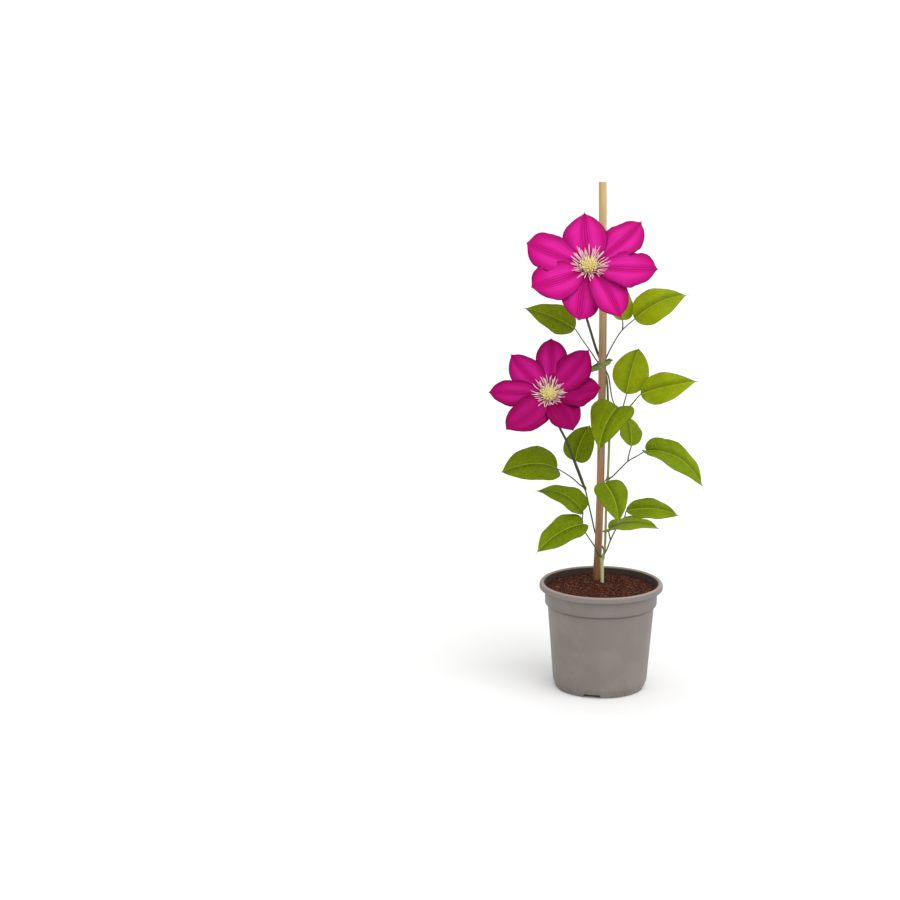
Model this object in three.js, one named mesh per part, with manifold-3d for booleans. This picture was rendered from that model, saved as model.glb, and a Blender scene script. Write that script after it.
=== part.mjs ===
// A potted clematis: a young climbing plant tied to a bamboo cane, in a plastic nursery pot of
// compost, with two open flowers. Millimetres, +Z up, the origin at the middle of the pot's
// underside. The plant shows its face towards -Y.
import * as THREE from 'three';
import { mergeVertices } from 'three/addons/utils/BufferGeometryUtils.js';
import Module from 'manifold-3d';

const wasm = await Module();
wasm.setup();

// ---- Driving dimensions (mm, degrees) ----------------------------------------------------

const CLEARANCE = 0.35; // air between neighbouring pieces
const TURN = 2 * Math.PI;

const POT = {
  height: 131,
  rimRadius: 75,
  rimHeight: 7.5,
  mouthRadius: 69,
  collarRadius: 68.4,
  collarBottom: 104,
  wallTopRadius: 64.7,
  wallBottomRadius: 57.2,
  footStep: 9,
  footRadius: 53,
  gutterInner: 30,
  gutterOuter: 46,
  gutterHeight: 3.6,
  wall: 1.6,
  segments: 32,
};
const DRAIN = {
  count: 4, firstAngle: -103.7, notchWidth: 22.5, notchDepth: 14, notchHeight: 4.6,
  holeRadius: 5, holeRing: 38, holeSides: 8,
};
const SOIL = { edge: 122.5, mound: 1.8, lump: 0.9, rings: 6, segments: 36 };
const CANE = {
  radii: [4.6, 4.8],
  path: [
    [-3.6, 38, 34], [-2.6, 38, 131], [-1.2, 38, 170], [0, 38, 235], [0.3, 38, 340], [0.1, 38, 440],
    [-1, 38, 520], [-2.7, 38, 611],
  ],
  sides: 12,
};

const STEM_SIDES = 5;
const MAIN_STEM = { radii: [2.1, 2], path: [[3.2, 20, 96], [3, 20.5, 124], [2.4, 22, 155]] };
const MAIN_SHOOT = {
  radii: [1.5, 1.4],
  path: [
    [2.4, 22, 153], [5, 22, 163], [6, 23, 180], [6.4, 23.5, 214], [7, 25, 239], [8, 26, 252],
    [9, 30, 276], [9.6, 33, 303], [9, 38, 326], [8, 42, 348], [6.6, 44.8, 370], [2, 45.4, 390],
  ],
};
const UPPER_STALK = {
  radii: [1.4, 1.45],
  path: [
    [2, 45.4, 390], [-4.6, 45.2, 403], [-8, 43.5, 412], [-11, 38, 421], [-14.6, 27, 432],
    [-18.9, 12, 444.9], [-23, -4, 460],
  ],
};
const SIDE_SHOOT = {
  radii: [1.05, 0.95],
  path: [
    [2.4, 22, 154], [5, 30, 158], [4.4, 40, 163], [-1, 45.2, 170], [-5.1, 44.6, 181],
    [-8.6, 42, 196], [-13.6, 38, 217], [-17.8, 33, 234.9], [-19, 32, 240],
  ],
};
const LOWER_STALK = {
  radii: [1.2, 1.4],
  path: [[-19, 32, 240], [-22.5, 30, 247], [-27.8, 24, 261], [-34.8, 14, 280], [-41.7, 4, 300]],
};
// Swollen joints where the leaves leave the stem: centre, half width, half height.
const JOINTS = {
  foot: { at: [2.4, 22, 155], width: 2.9, height: 3.6 },
  low: { at: [8, 26, 252], width: 2.3, height: 3 },
  middle: { at: [9.6, 33, 303], width: 2, height: 2.8 },
  tied: { at: [2, 45.4, 390], width: 2.1, height: 3 },
  side: { at: [-19, 32, 240], width: 1.9, height: 2.8 },
};

const LEAF = { thickness: 0.8, along: 6, across: 6, rise: 1, fall: 1.9, bluntTip: 0.6, peak: 0.03 };
const PETIOLE = { radius: 0.85, endRadius: 0.6, sides: 4, reach: 0.25 };

// Each leaf: the joint it grows from and its leaflets. A leaflet's stalk runs through the points
// given, from the stem (or from the fork), to the base of its blade. facing is the way the blade's
// upper side looks: degrees up from level, and degrees round from the front towards +X.
const LEAVES = [
  {
    name: 'leaf_top_left',
    leaflets: [{
      stalk: [[2, 45.4, 390], [-4, 46, 393], [-14.8, 39, 408.5], [-25.8, 28, 424.7]],
      base: [-35, 18, 438.5], tip: [-93.5, 30, 461], width: 40,
      facing: [45, -1], rise: 1.2, fall: 2.2, arch: 0.12,
      bend: 0.015, lobe: 0.03, wave: 1.5,
    }],
  },
  {
    name: 'leaf_top_right',
    leaflets: [
      {
        stalk: [[2, 45.4, 390], [7, 44, 403], [14, 38, 419], [23, 30, 435]],
        base: [37, 22, 449.5], tip: [98.5, 38, 475.5], width: 43,
        facing: [38, 3], rise: 1.05, fall: 2, arch: 0.135,
        bend: 0.035, lobe: 0.02, wave: 1.5,
      },
      {
        stalk: [[23, 30, 435], [23.5, 31, 441]],
        base: [23, 32, 447], tip: [22, 50, 488],
        width: 27, facing: [18, 10], arch: 0.08, lobe: 0.06, wave: 1,
      },
    ],
  },
  {
    name: 'leaf_upper_right',
    leaflets: [
      {
        stalk: [[9.6, 33, 303], [14, 31, 315], [20, 27, 328], [25, 20, 345]],
        base: [28, 14, 360], tip: [43.5, 36, 410.5], width: 43.5,
        facing: [10, -9], rise: 1.15, fall: 1.6, arch: 0.09,
        bend: 0.02, lobe: 0, wave: 1.5,
      },
      {
        stalk: [[21.1, 26, 331.7], [33, 12, 346.3]],
        base: [44, 2, 362], tip: [107.5, -12, 380], width: 38,
        facing: [27, 4], rise: 1.2, fall: 2.1, arch: 0.11,
        bend: 0, lobe: 0, wave: 1.5,
      },
    ],
  },
  {
    name: 'leaf_centre',
    leaflets: [{
      stalk: [
        [3.8, 45.2, 385], [8, 44.2, 377], [9.8, 42, 368.3], [11, 34, 357.5], [11.8, 22, 352.4],
        [13.5, 8, 348.3],
      ],
      base: [15.5, -6, 348], tip: [-7.5, -36, 302], width: 51.5,
      facing: [26, -20], rise: 1.05, fall: 2.45, arch: 0.095,
      bend: -0.045, lobe: 0.2, wave: 2,
    }],
  },
  {
    name: 'leaf_middle_right',
    leaflets: [
      {
        stalk: [[8, 26, 252], [13.4, 24, 256.2], [20.7, 21, 264.6], [31, 16, 276.7], [41, 11, 284.2]],
        base: [52.5, 4, 292.5], tip: [116.5, -16, 255], width: 37,
        facing: [51, 9], rise: 1.4, fall: 1.75, arch: 0.185,
        bend: 0.07, lobe: 0.19, wave: 2,
      },
      {
        stalk: [[31, 16, 276.7], [32.5, 16, 286]],
        base: [35, 16, 296], tip: [29, 36, 328.5], width: 33,
        facing: [7, 32], rise: 1.1, fall: 1.65, arch: 0.12,
        bend: 0, lobe: 0, wave: 1,
      },
    ],
  },
  {
    name: 'leaf_back_left',
    leaflets: [{
      stalk: [[-19, 32, 240], [-22.2, 33.5, 250], [-26.2, 34, 261]],
      base: [-31, 32, 274.5], tip: [-13.5, 46, 314], width: 37,
      facing: [15, -15], rise: 1.1, fall: 1.6, arch: 0.1,
      bend: 0.045, lobe: 0.1, wave: 1,
    }],
  },
  {
    name: 'leaf_middle_left',
    leaflets: [{
      stalk: [[-19, 32, 240], [-25, 30, 244.3], [-36.4, 25, 255.2]],
      base: [-54, 20, 267], tip: [-120, 2, 267], width: 50,
      facing: [46, -1], rise: 1.15, fall: 1.45, arch: 0.21,
      bend: 0, lobe: 0.1, wave: 1,
    }],
  },
  {
    name: 'leaf_low_centre',
    leaflets: [{
      stalk: [[8, 26, 252], [7, 19, 256], [5, 7, 257]],
      base: [1.5, -8, 255.5], tip: [16.5, -36, 213], width: 38.5,
      facing: [25, 4], rise: 1.15, fall: 2.3, arch: 0.085,
      bend: 0.08, lobe: 0.1, wave: 1.5,
    }],
  },
  {
    name: 'leaf_low_left',
    leaflets: [
      {
        stalk: [
          [2.4, 22, 155], [-3, 19, 161], [-8, 14, 172], [-14, 8, 182], [-21, 1, 194], [-24, -4, 201],
        ],
        base: [-23.5, -6, 204.5], tip: [-78, -26, 175.5], width: 38.5,
        facing: [47, -11], rise: 1.35, fall: 1.8, arch: 0.095,
        bend: -0.05, lobe: 0.16, wave: 2,
      },
      {
        stalk: [[-21, 1, 194], [-23.5, 4, 205]],
        base: [-23, 8, 217], tip: [-76.5, 30, 236.5], width: 35.5,
        facing: [59, 3], rise: 1, fall: 1.85, arch: 0.15,
        bend: -0.07, lobe: 0.125, wave: 1.5,
      },
    ],
  },
  {
    name: 'leaf_low_right',
    leaflets: [
      {
        stalk: [[2.4, 22, 155], [7.5, 20, 165], [12, 18, 178], [19, 15, 194], [27, 11, 205]],
        base: [30, 8, 217.5], tip: [93, 22, 208], width: 28.5,
        facing: [42, 0], rise: 1.35, fall: 1.8, arch: 0.12,
        bend: 0.03, lobe: 0.04, wave: 1.5,
      },
      {
        stalk: [[12, 18, 178], [9, 9, 191]],
        base: [8.5, -2, 197], tip: [64.5, -26, 204], width: 44,
        facing: [80, 1], rise: 1.05, fall: 1.7, arch: 0.13,
        bend: -0.03, lobe: 0.18, wave: 1.5,
      },
    ],
  },
];

const TEPAL = {
  thickness: 0.9, along: 7, across: 6, bluntTip: 0.6,
  root: 4, rootDepth: 2.4, arch: 0.1, fold: 0.22, puff: 0.2, lobe: 0, wave: 2.2, peak: 0.045,
};
const TEPAL_ROLL = 7; // each tepal turns about its midline, so it slips under its neighbour
const RECEPTACLE = { radius: 7.5, back: 5, front: 1.8, sides: 16 };
const STAMENS = {
  count: 31, length: 18, radius: 0.55, leastLean: 44, leanRange: 24,
  ringInner: 5.2, ringOuter: 8.6, ringTop: 4.4, rootDepth: 2,
};
const PISTIL = {
  count: 13, radius: 4.6, height: 7, styleLength: 7, styleRadius: 0.65, lean: 34, rootDepth: 3.4,
};
const GOLDEN_ANGLE = 137.508;

// Each flower: its heart, the way it looks, and its tepals, each as [angle round the heart, length,
// width, bend, rise, fall, how far its tip stands forward].
const BLOOMS = [
  {
    name: 'bloom_upper',
    heart: [-23, -45, 522],
    facing: [38, 0],
    tepals: [
      [92.5, 70, 52.5, 0.03, 1.35, 1.75, 2],
      [45, 87.5, 45, -0.09, 1.75, 1.5, -4.5],
      [-6, 76.5, 51, -0.1, 1.9, 1.15, 8],
      [-63, 73, 43, 0.01, 1.85, 1.15, 1],
      [-101, 66, 45, -0.05, 1.55, 0.9, -6.5],
      [-155, 71.5, 47.5, 0.085, 1.6, 0.9, 6.5],
      [162, 73, 46.5, 0.06, 1.8, 0.9, 14],
    ],
    spread: 1,
  },
  {
    name: 'bloom_lower',
    heart: [-67, -30, 369],
    facing: [38, 0],
    tepals: [
      [87, 71, 38, -0.04, 1.5, 1.15, 3],
      [47.5, 68.5, 43.5, -0.085, 1.45, 1.45, 13],
      [4.5, 59, 41, -0.1, 1.45, 1.15, 8.5],
      [-62.5, 56, 41.5, 0.005, 1.45, 1.2, 7.5],
      [-133, 73, 41, 0.07, 1.1, 1.05, 18],
      [181, 68.5, 33, 0.035, 1.5, 1.05, 7.5],
      [130.5, 66, 39, 0.065, 1.4, 1.55, 3.5],
    ],
    spread: 0.88,
  },
];

const TIE = {
  centre: [-2, 41.1, 390], halfLength: 11.6, halfDepth: 8.4, slope: 0.45,
  width: 5.5, thickness: 1.2, sides: 36,
  tailRadii: [1.5, 1.2], tail: [[0, -1, 0], [0.9, -2.2, 1.5], [1.7, -3.6, 1.6]],
};

const FINISHES = {
  pot: { color: 0x857c74, roughness: 0.55, metalness: 0 },
  soil: { color: 0x4a2d20, roughness: 0.95, metalness: 0 },
  cane: { color: 0xc9a27e, roughness: 0.6, metalness: 0 },
  stem: { color: 0x8a9a4e, roughness: 0.6, metalness: 0 },
  tie: { color: 0x8fa36a, roughness: 0.7, metalness: 0 },
  leaf: { color: 0x6e870f, roughness: 0.5, metalness: 0 },
  tepal: { color: 0xb3127f, roughness: 0.55, metalness: 0 },
  stamen: { color: 0xf0dcb8, roughness: 0.7, metalness: 0 },
  pistil: { color: 0xe8c95a, roughness: 0.7, metalness: 0 },
};

// ---- Solids ------------------------------------------------------------------------------

// A closed BufferGeometry as a solid that can be joined and cut.
function solidOf(geometry) {
  const plain = geometry.clone();
  plain.deleteAttribute('normal');
  plain.deleteAttribute('uv');
  const merged = mergeVertices(plain, 1e-4);
  const index = merged.index.array;
  const kept = [];
  for (let i = 0; i < index.length; i += 3) {
    const [a, b, c] = [index[i], index[i + 1], index[i + 2]];
    if (a !== b && b !== c && c !== a) kept.push(a, b, c);
  }
  const mesh = new wasm.Mesh({
    numProp: 3,
    vertProperties: new Float32Array(merged.attributes.position.array),
    triVerts: new Uint32Array(kept),
  });
  return new wasm.Manifold(mesh);
}

function geometryOf(solid) {
  const mesh = solid.getMesh();
  const geometry = new THREE.BufferGeometry();
  geometry.setAttribute('position', new THREE.BufferAttribute(mesh.vertProperties, 3));
  geometry.setIndex(new THREE.BufferAttribute(mesh.triVerts, 1));
  geometry.computeVertexNormals();
  return geometry;
}

const union = (solids) => solids.reduce((whole, solid) => whole.add(solid));

function surface(points, faces) {
  const geometry = new THREE.BufferGeometry();
  geometry.setAttribute('position', new THREE.Float32BufferAttribute(points.flat(), 3));
  geometry.setIndex(faces.flat());
  return geometry;
}

// A solid of revolution about Z. The profile of [radius, height] points runs anticlockwise in
// the half plane, from the axis at the bottom to the axis at the top.
function revolve(profile, segments) {
  const points = profile.map(([radius, height]) => new THREE.Vector2(radius, height));
  return solidOf(new THREE.LatheGeometry(points, segments).rotateX(Math.PI / 2));
}

// A closed ring whose profile is itself closed.
const revolveRing = (profile, segments) => revolve([...profile, profile[0]], segments);

const vector = (p) => new THREE.Vector3(...p);

// A closed tube through the points, its radius running through the given ones at even steps.
// grow adds to its radius and to both its ends.
function tube(points, radii, sides, grow = 0, stepsPerPoint = 2) {
  const curve = new THREE.CatmullRomCurve3(points.map(vector), false, 'centripetal');
  const steps = (points.length - 1) * stepsPerPoint;
  const rings = [];
  const side = new THREE.Vector3(0, 1, 0);
  for (let i = 0; i <= steps; i += 1) {
    const t = i / steps;
    const tangent = curve.getTangent(t);
    const longer = grow * (Number(i === steps) - Number(i === 0));
    const centre = curve.getPoint(t).addScaledVector(tangent, longer);
    side.addScaledVector(tangent, -side.dot(tangent)).normalize();
    const other = new THREE.Vector3().crossVectors(tangent, side);
    const part = t * (radii.length - 1);
    const before = Math.min(Math.floor(part), radii.length - 2);
    const radius = THREE.MathUtils.lerp(radii[before], radii[before + 1], part - before) + grow;
    for (let j = 0; j < sides; j += 1) {
      const angle = (TURN * j) / sides;
      rings.push(centre.clone()
        .addScaledVector(side, radius * Math.cos(angle))
        .addScaledVector(other, radius * Math.sin(angle))
        .toArray());
    }
  }
  const faces = [];
  for (let i = 0; i < steps; i += 1) {
    for (let j = 0; j < sides; j += 1) {
      const a = i * sides + j;
      const b = i * sides + ((j + 1) % sides);
      faces.push([a, b, b + sides], [a, b + sides, a + sides]);
    }
  }
  const last = steps * sides;
  for (let j = 1; j < sides - 1; j += 1) {
    faces.push([0, j + 1, j], [last, last + j, last + j + 1]);
  }
  return solidOf(surface(rings, faces));
}

// An egg-shaped swelling, upright, of the given half width and half height.
function swelling({ at, width, height }, grow = 0) {
  const ball = new THREE.SphereGeometry(1, 8, 6).rotateX(Math.PI / 2);
  ball.scale(width + grow, width + grow, height + grow).translate(...at);
  return solidOf(ball);
}

// ---- Blades: leaves and tepals -----------------------------------------------------------

const DEFAULT_BLADE = {
  arch: 0.1, fold: 0.2, puff: 0.2, lobe: 0.12, bend: 0, wave: 0, waves: 2.5, peak: 0,
};

// The way a side looks, from degrees up and degrees round from -Y towards +X.
function lookOf([up, round]) {
  const [a, b] = [up, round].map(THREE.MathUtils.degToRad);
  return new THREE.Vector3(Math.sin(b) * Math.cos(a), -Math.cos(b) * Math.cos(a), Math.sin(a));
}

// A point of the blade's middle surface. along runs from 0 at the base to 1 at the tip, across
// from -1 to 1. The outline is widest near rise / (rise + fall) of the length. lobe sweeps the
// base back on both sides of the stalk, arch lifts the middle, fold makes a valley of the
// midrib, puff rounds each half, bend curves the midrib sideways and wave ripples the margin.
function bladePoint(blade, along, across) {
  const base = vector(blade.base);
  const chord = vector(blade.tip).sub(base);
  const length = chord.length();
  const forward = chord.clone().normalize();
  const up = blade.look.clone().addScaledVector(forward, -blade.look.dot(forward)).normalize();
  const sideways = new THREE.Vector3().crossVectors(up, forward);
  const t = THREE.MathUtils.degToRad(THREE.MathUtils.lerp(2, 89, along));
  const widest = Math.atan(Math.sqrt(blade.rise / blade.fall));
  const outline = (angle) => Math.sin(angle) ** blade.rise * Math.cos(angle) ** blade.fall;
  const half = Math.max(blade.bluntTip, (blade.width / 2) * (outline(t) / outline(widest)));
  const travel = Math.sin(t) ** 2;
  const lobe = t < Math.PI / 3 ? blade.lobe * Math.sin(3 * t) : 0;
  const hump = 4 * travel * (1 - travel);
  const beak = blade.peak * travel ** 8 * (1 - Math.abs(across));
  const out = half * across;
  const ripple = Math.sin(TURN * blade.waves * travel + (across > 0 ? 0 : 1.3));
  const edge = (Math.abs(out) / (blade.width / 2)) ** 2;
  const lift = blade.arch * length * hump
    + blade.fold * (Math.hypot(out, 1) - 1)
    - (blade.puff * out * out) / (blade.width / 2)
    + blade.wave * ripple * edge;
  return base
    .addScaledVector(forward, length * (travel - lobe * Math.abs(across) ** 1.5 + beak))
    .addScaledVector(sideways, out + blade.bend * length * hump)
    .addScaledVector(up, lift);
}

function bladeNormal(blade, along, across) {
  const step = 0.01;
  const a = Math.min(Math.max(along, step), 1 - step);
  const ahead = bladePoint(blade, a + step, across).sub(bladePoint(blade, a - step, across));
  const beside = bladePoint(blade, a, across + step).sub(bladePoint(blade, a, across - step));
  return ahead.cross(beside).normalize();
}

// A thin closed blade. Both faces are split into triangles alike.
function bladeSolid(blade) {
  const { along, across, thickness } = blade;
  const upper = [];
  const lower = [];
  for (let i = 0; i <= along; i += 1) {
    for (let j = 0; j <= across; j += 1) {
      const [u, v] = [i / along, (2 * j) / across - 1];
      const normal = bladeNormal(blade, u, v);
      const middle = bladePoint(blade, u, v);
      upper.push(middle.clone().addScaledVector(normal, thickness / 2).toArray());
      lower.push(middle.clone().addScaledVector(normal, -thickness / 2).toArray());
    }
  }
  const at = (i, j) => i * (across + 1) + j;
  const under = upper.length;
  const faces = [];
  for (let i = 0; i < along; i += 1) {
    for (let j = 0; j < across; j += 1) {
      const [a, b, c, d] = [at(i, j), at(i + 1, j), at(i + 1, j + 1), at(i, j + 1)];
      const halves = j < across / 2 ? [[a, b, c], [a, c, d]] : [[a, b, d], [b, c, d]];
      for (const [p, q, r] of halves) {
        faces.push([p, q, r], [r + under, q + under, p + under]);
      }
    }
  }
  const rim = [];
  for (let i = 0; i < along; i += 1) rim.push(at(i, 0));
  for (let j = 0; j < across; j += 1) rim.push(at(along, j));
  for (let i = along; i > 0; i -= 1) rim.push(at(i, across));
  for (let j = across; j > 0; j -= 1) rim.push(at(0, j));
  rim.forEach((p, n) => {
    const q = rim[(n + 1) % rim.length];
    faces.push([p + under, q + under, q], [p + under, q, p]);
  });
  return solidOf(surface([...upper, ...lower], faces));
}

// ---- Pot, compost and cane ---------------------------------------------------------------

const rimBottom = POT.height - POT.rimHeight;
const slope = (POT.wallTopRadius - POT.wallBottomRadius) / (POT.collarBottom - POT.footStep);
const wallRadius = (z) => POT.wallBottomRadius + slope * (z - POT.footStep);
const floorTop = POT.gutterHeight + POT.wall;

// The pot's inside, from the floor to the mouth, as [radius, height] points.
function innerProfile(inset = 0) {
  const inner = (z) => wallRadius(z) - POT.wall - inset;
  return [
    [POT.footRadius - 1 - inset, floorTop + inset],
    [inner(POT.footStep + 2), POT.footStep + 2],
    [inner(POT.collarBottom - 3), POT.collarBottom - 3],
    [POT.collarRadius - POT.wall - inset, POT.collarBottom + 1],
    [POT.collarRadius - POT.wall - inset, rimBottom - 1],
  ];
}

function makePot() {
  const body = revolve([
    [0, 0],
    [POT.gutterInner, 0],
    [POT.gutterInner + 1, POT.gutterHeight],
    [POT.gutterOuter - 1, POT.gutterHeight],
    [POT.gutterOuter, 0],
    [POT.footRadius, 0],
    [wallRadius(POT.footStep), POT.footStep],
    [wallRadius(POT.collarBottom - 1), POT.collarBottom - 1],
    [POT.collarRadius - 0.6, POT.collarBottom + 0.6],
    [POT.collarRadius, rimBottom],
    [POT.rimRadius, rimBottom + 0.6],
    [POT.rimRadius, POT.height - 1.6],
    [POT.rimRadius - 1.6, POT.height],
    [POT.mouthRadius + 1.4, POT.height],
    [POT.mouthRadius, POT.height - 1.2],
    ...innerProfile().reverse(),
    [POT.gutterInner - POT.wall + 1, floorTop],
    [POT.gutterInner - POT.wall, POT.wall],
    [0, POT.wall],
  ], POT.segments);
  const cuts = [];
  for (let i = 0; i < DRAIN.count; i += 1) {
    const angle = THREE.MathUtils.degToRad(DRAIN.firstAngle + (360 * i) / DRAIN.count);
    const { notchWidth, notchDepth, notchHeight, holeRadius, holeRing, holeSides } = DRAIN;
    const notch = new THREE.BoxGeometry(notchDepth, notchWidth, 2 * notchHeight);
    notch.translate(POT.gutterOuter + notchDepth / 2 - 2.4, 0, 0).rotateZ(angle);
    const hole = new THREE.CylinderGeometry(holeRadius, holeRadius, 4 * POT.wall, holeSides);
    hole.rotateX(Math.PI / 2).translate(holeRing, 0, floorTop).rotateZ(angle);
    cuts.push(solidOf(notch), solidOf(hole));
  }
  return cuts.reduce((pot, cut) => pot.subtract(cut), body);
}

// Crumbs and hollows of the compost's top, as a height over its mean.
function crumb(x, y) {
  return Math.sin(0.31 * x + 0.17 * y) * Math.cos(0.23 * y - 0.4)
    + 0.6 * Math.sin(0.52 * y + 0.41 * x + 1.1)
    + 0.5 * Math.cos(0.67 * x - 0.38 * y);
}

function makeSoil(standing) {
  const wall = innerProfile(CLEARANCE);
  const edgeRadius = wall.at(-1)[0];
  const top = [];
  for (let i = SOIL.rings; i >= 0; i -= 1) {
    const radius = (edgeRadius * i) / SOIL.rings;
    top.push([radius, SOIL.edge + SOIL.mound * Math.cos((Math.PI / 2) * (radius / edgeRadius))]);
  }
  const profile = [
    [0, POT.wall + CLEARANCE],
    [POT.gutterInner - POT.wall - CLEARANCE, POT.wall + CLEARANCE],
    [POT.gutterInner - POT.wall - CLEARANCE + 1, floorTop + CLEARANCE],
    ...wall.slice(0, -1),
    ...top,
  ].map(([radius, height]) => new THREE.Vector2(radius, height));
  const body = new THREE.LatheGeometry(profile, SOIL.segments).rotateX(Math.PI / 2);
  const place = body.attributes.position;
  for (let i = 0; i < place.count; i += 1) {
    const [x, y, z] = [place.getX(i), place.getY(i), place.getZ(i)];
    if (z > SOIL.edge - 0.1) place.setZ(i, z + SOIL.lump * crumb(x, y));
  }
  return standing.reduce((soil, cut) => soil.subtract(cut), solidOf(body));
}

const makeCane = (grow = 0) => tube(CANE.path, CANE.radii, CANE.sides, grow, 1);

// ---- Stems and leaves --------------------------------------------------------------------

// The heart of each flower in its own frame: the flower looks along its own +Z.
function bloomFrame({ heart, facing }) {
  const look = lookOf(facing);
  const right = new THREE.Vector3(0, 0, 1).cross(look).normalize();
  const up = new THREE.Vector3().crossVectors(look, right);
  const turn = new THREE.Matrix4().makeBasis(right, up, look);
  return { look, quaternion: new THREE.Quaternion().setFromRotationMatrix(turn), heart };
}

// A flower stalk's last stretch comes square on to the back of its flower.
function stalkTo(stalk, bloom) {
  const { look } = bloomFrame(bloom);
  const behind = (distance) => vector(bloom.heart).addScaledVector(look, -distance).toArray();
  const end = RECEPTACLE.back + CLEARANCE;
  return [...stalk.path, behind(end + 22), behind(end + 9), behind(end)];
}

// All the plant's stems, fused. grow swells them, to cut what has to stand clear of them.
function makeStem(grow = 0) {
  const tubes = [MAIN_STEM, MAIN_SHOOT, SIDE_SHOOT]
    .map(({ path, radii }) => tube(path, radii, STEM_SIDES, grow));
  const stalks = [UPPER_STALK, LOWER_STALK]
    .map((stalk, i) => tube(stalkTo(stalk, BLOOMS[i]), stalk.radii, STEM_SIDES, grow));
  const joints = Object.values(JOINTS).map((joint) => swelling(joint, grow));
  return union([...tubes, ...stalks, ...joints]);
}

// One leaf: its petiole, with a fork for each leaflet after the first, and its blades.
function makeLeaf({ leaflets }, stems) {
  const pieces = leaflets.flatMap((leaflet) => {
    const blade = { ...DEFAULT_BLADE, ...LEAF, ...leaflet, look: lookOf(leaflet.facing) };
    const rib = [PETIOLE.reach / 2, PETIOLE.reach].map((along) => bladePoint(blade, along, 0)
      .addScaledVector(bladeNormal(blade, along, 0), -LEAF.thickness / 2)
      .toArray());
    const stalk = tube(
      [...leaflet.stalk, leaflet.base, ...rib],
      [PETIOLE.radius, PETIOLE.endRadius],
      PETIOLE.sides,
      0,
      1,
    );
    return [bladeSolid(blade), stalk];
  });
  return union(pieces).subtract(stems);
}

// ---- Flowers -----------------------------------------------------------------------------

// The tepals of one flower, fused at the receptacle, in the flower's own frame.
function makeTepals({ tepals }) {
  const blades = tepals.map(([angle, length, width, bend, rise, fall, forward], i) => {
    const a = THREE.MathUtils.degToRad(angle);
    const roll = THREE.MathUtils.degToRad(TEPAL_ROLL);
    const tilt = Math.sin(roll);
    const look = new THREE.Vector3(-Math.sin(a) * tilt, Math.cos(a) * tilt, Math.cos(roll));
    return bladeSolid({
      ...DEFAULT_BLADE,
      ...TEPAL,
      base: [TEPAL.root * Math.cos(a), TEPAL.root * Math.sin(a), -TEPAL.rootDepth],
      tip: [length * Math.cos(a), length * Math.sin(a), forward - TEPAL.rootDepth],
      width,
      bend,
      rise,
      fall,
      look,
      waves: 2 + 0.3 * (i % 3),
    });
  });
  const { radius, back, front, sides } = RECEPTACLE;
  const receptacle = revolve(
    [[0, -back], [2.4, -back], [radius - 1, -2.4], [radius, -1], [radius - 1, front], [0, front]],
    sides,
  );
  return union([receptacle, ...blades]);
}

// A three-sided spike that thickens towards its end.
function spike(root, end, radius) {
  const neck = vector(root).lerp(vector(end), 0.6).toArray();
  return tube([root, neck, end], [0.75 * radius, 1.3 * radius, radius], 3, 0, 1);
}

function makeStamens({ spread }) {
  const { count, length, radius, leastLean, leanRange } = STAMENS;
  const { ringInner, ringOuter, ringTop, rootDepth } = STAMENS;
  const foot = RECEPTACLE.front + CLEARANCE;
  const ring = revolveRing(
    [[ringInner, foot], [ringOuter, foot], [ringOuter - 0.8, ringTop], [ringInner + 0.6, ringTop]],
    18,
  );
  const filaments = [];
  for (let i = 0; i < count; i += 1) {
    const angle = THREE.MathUtils.degToRad(i * GOLDEN_ANGLE);
    const lean = THREE.MathUtils.degToRad(leastLean + leanRange * ((i * 0.618) % 1));
    const middle = (ringInner + ringOuter) / 2;
    const reach = length * spread * (0.85 + 0.2 * ((i * 0.414) % 1));
    const at = (distance) => {
      const out = middle + distance * Math.sin(lean);
      const rise = ringTop - rootDepth + distance * Math.cos(lean);
      return [out * Math.cos(angle), out * Math.sin(angle), rise];
    };
    filaments.push(spike(at(0), at(reach), radius));
  }
  return union([ring, ...filaments]);
}

function makePistil({ spread }) {
  const { count, radius, height, styleLength, styleRadius, lean, rootDepth } = PISTIL;
  const foot = RECEPTACLE.front + CLEARANCE;
  const heart = revolve(
    [[0, foot], [radius, foot], [radius, height - 2.5], [radius - 1.6, height - 0.8], [0, height]],
    12,
  );
  const styles = [];
  for (let i = 0; i < count; i += 1) {
    const part = Math.sqrt((i + 0.5) / count);
    const angle = THREE.MathUtils.degToRad(i * GOLDEN_ANGLE);
    const out = (radius - 1) * part;
    const tilt = THREE.MathUtils.degToRad(lean * part);
    const at = (distance) => {
      const reach = out + distance * Math.sin(tilt);
      const rise = height - rootDepth + distance * Math.cos(tilt);
      return [reach * Math.cos(angle), reach * Math.sin(angle), rise];
    };
    styles.push(spike(at(0), at(styleLength * spread), styleRadius));
  }
  return union([heart, ...styles]);
}

// ---- Tie ---------------------------------------------------------------------------------

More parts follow.
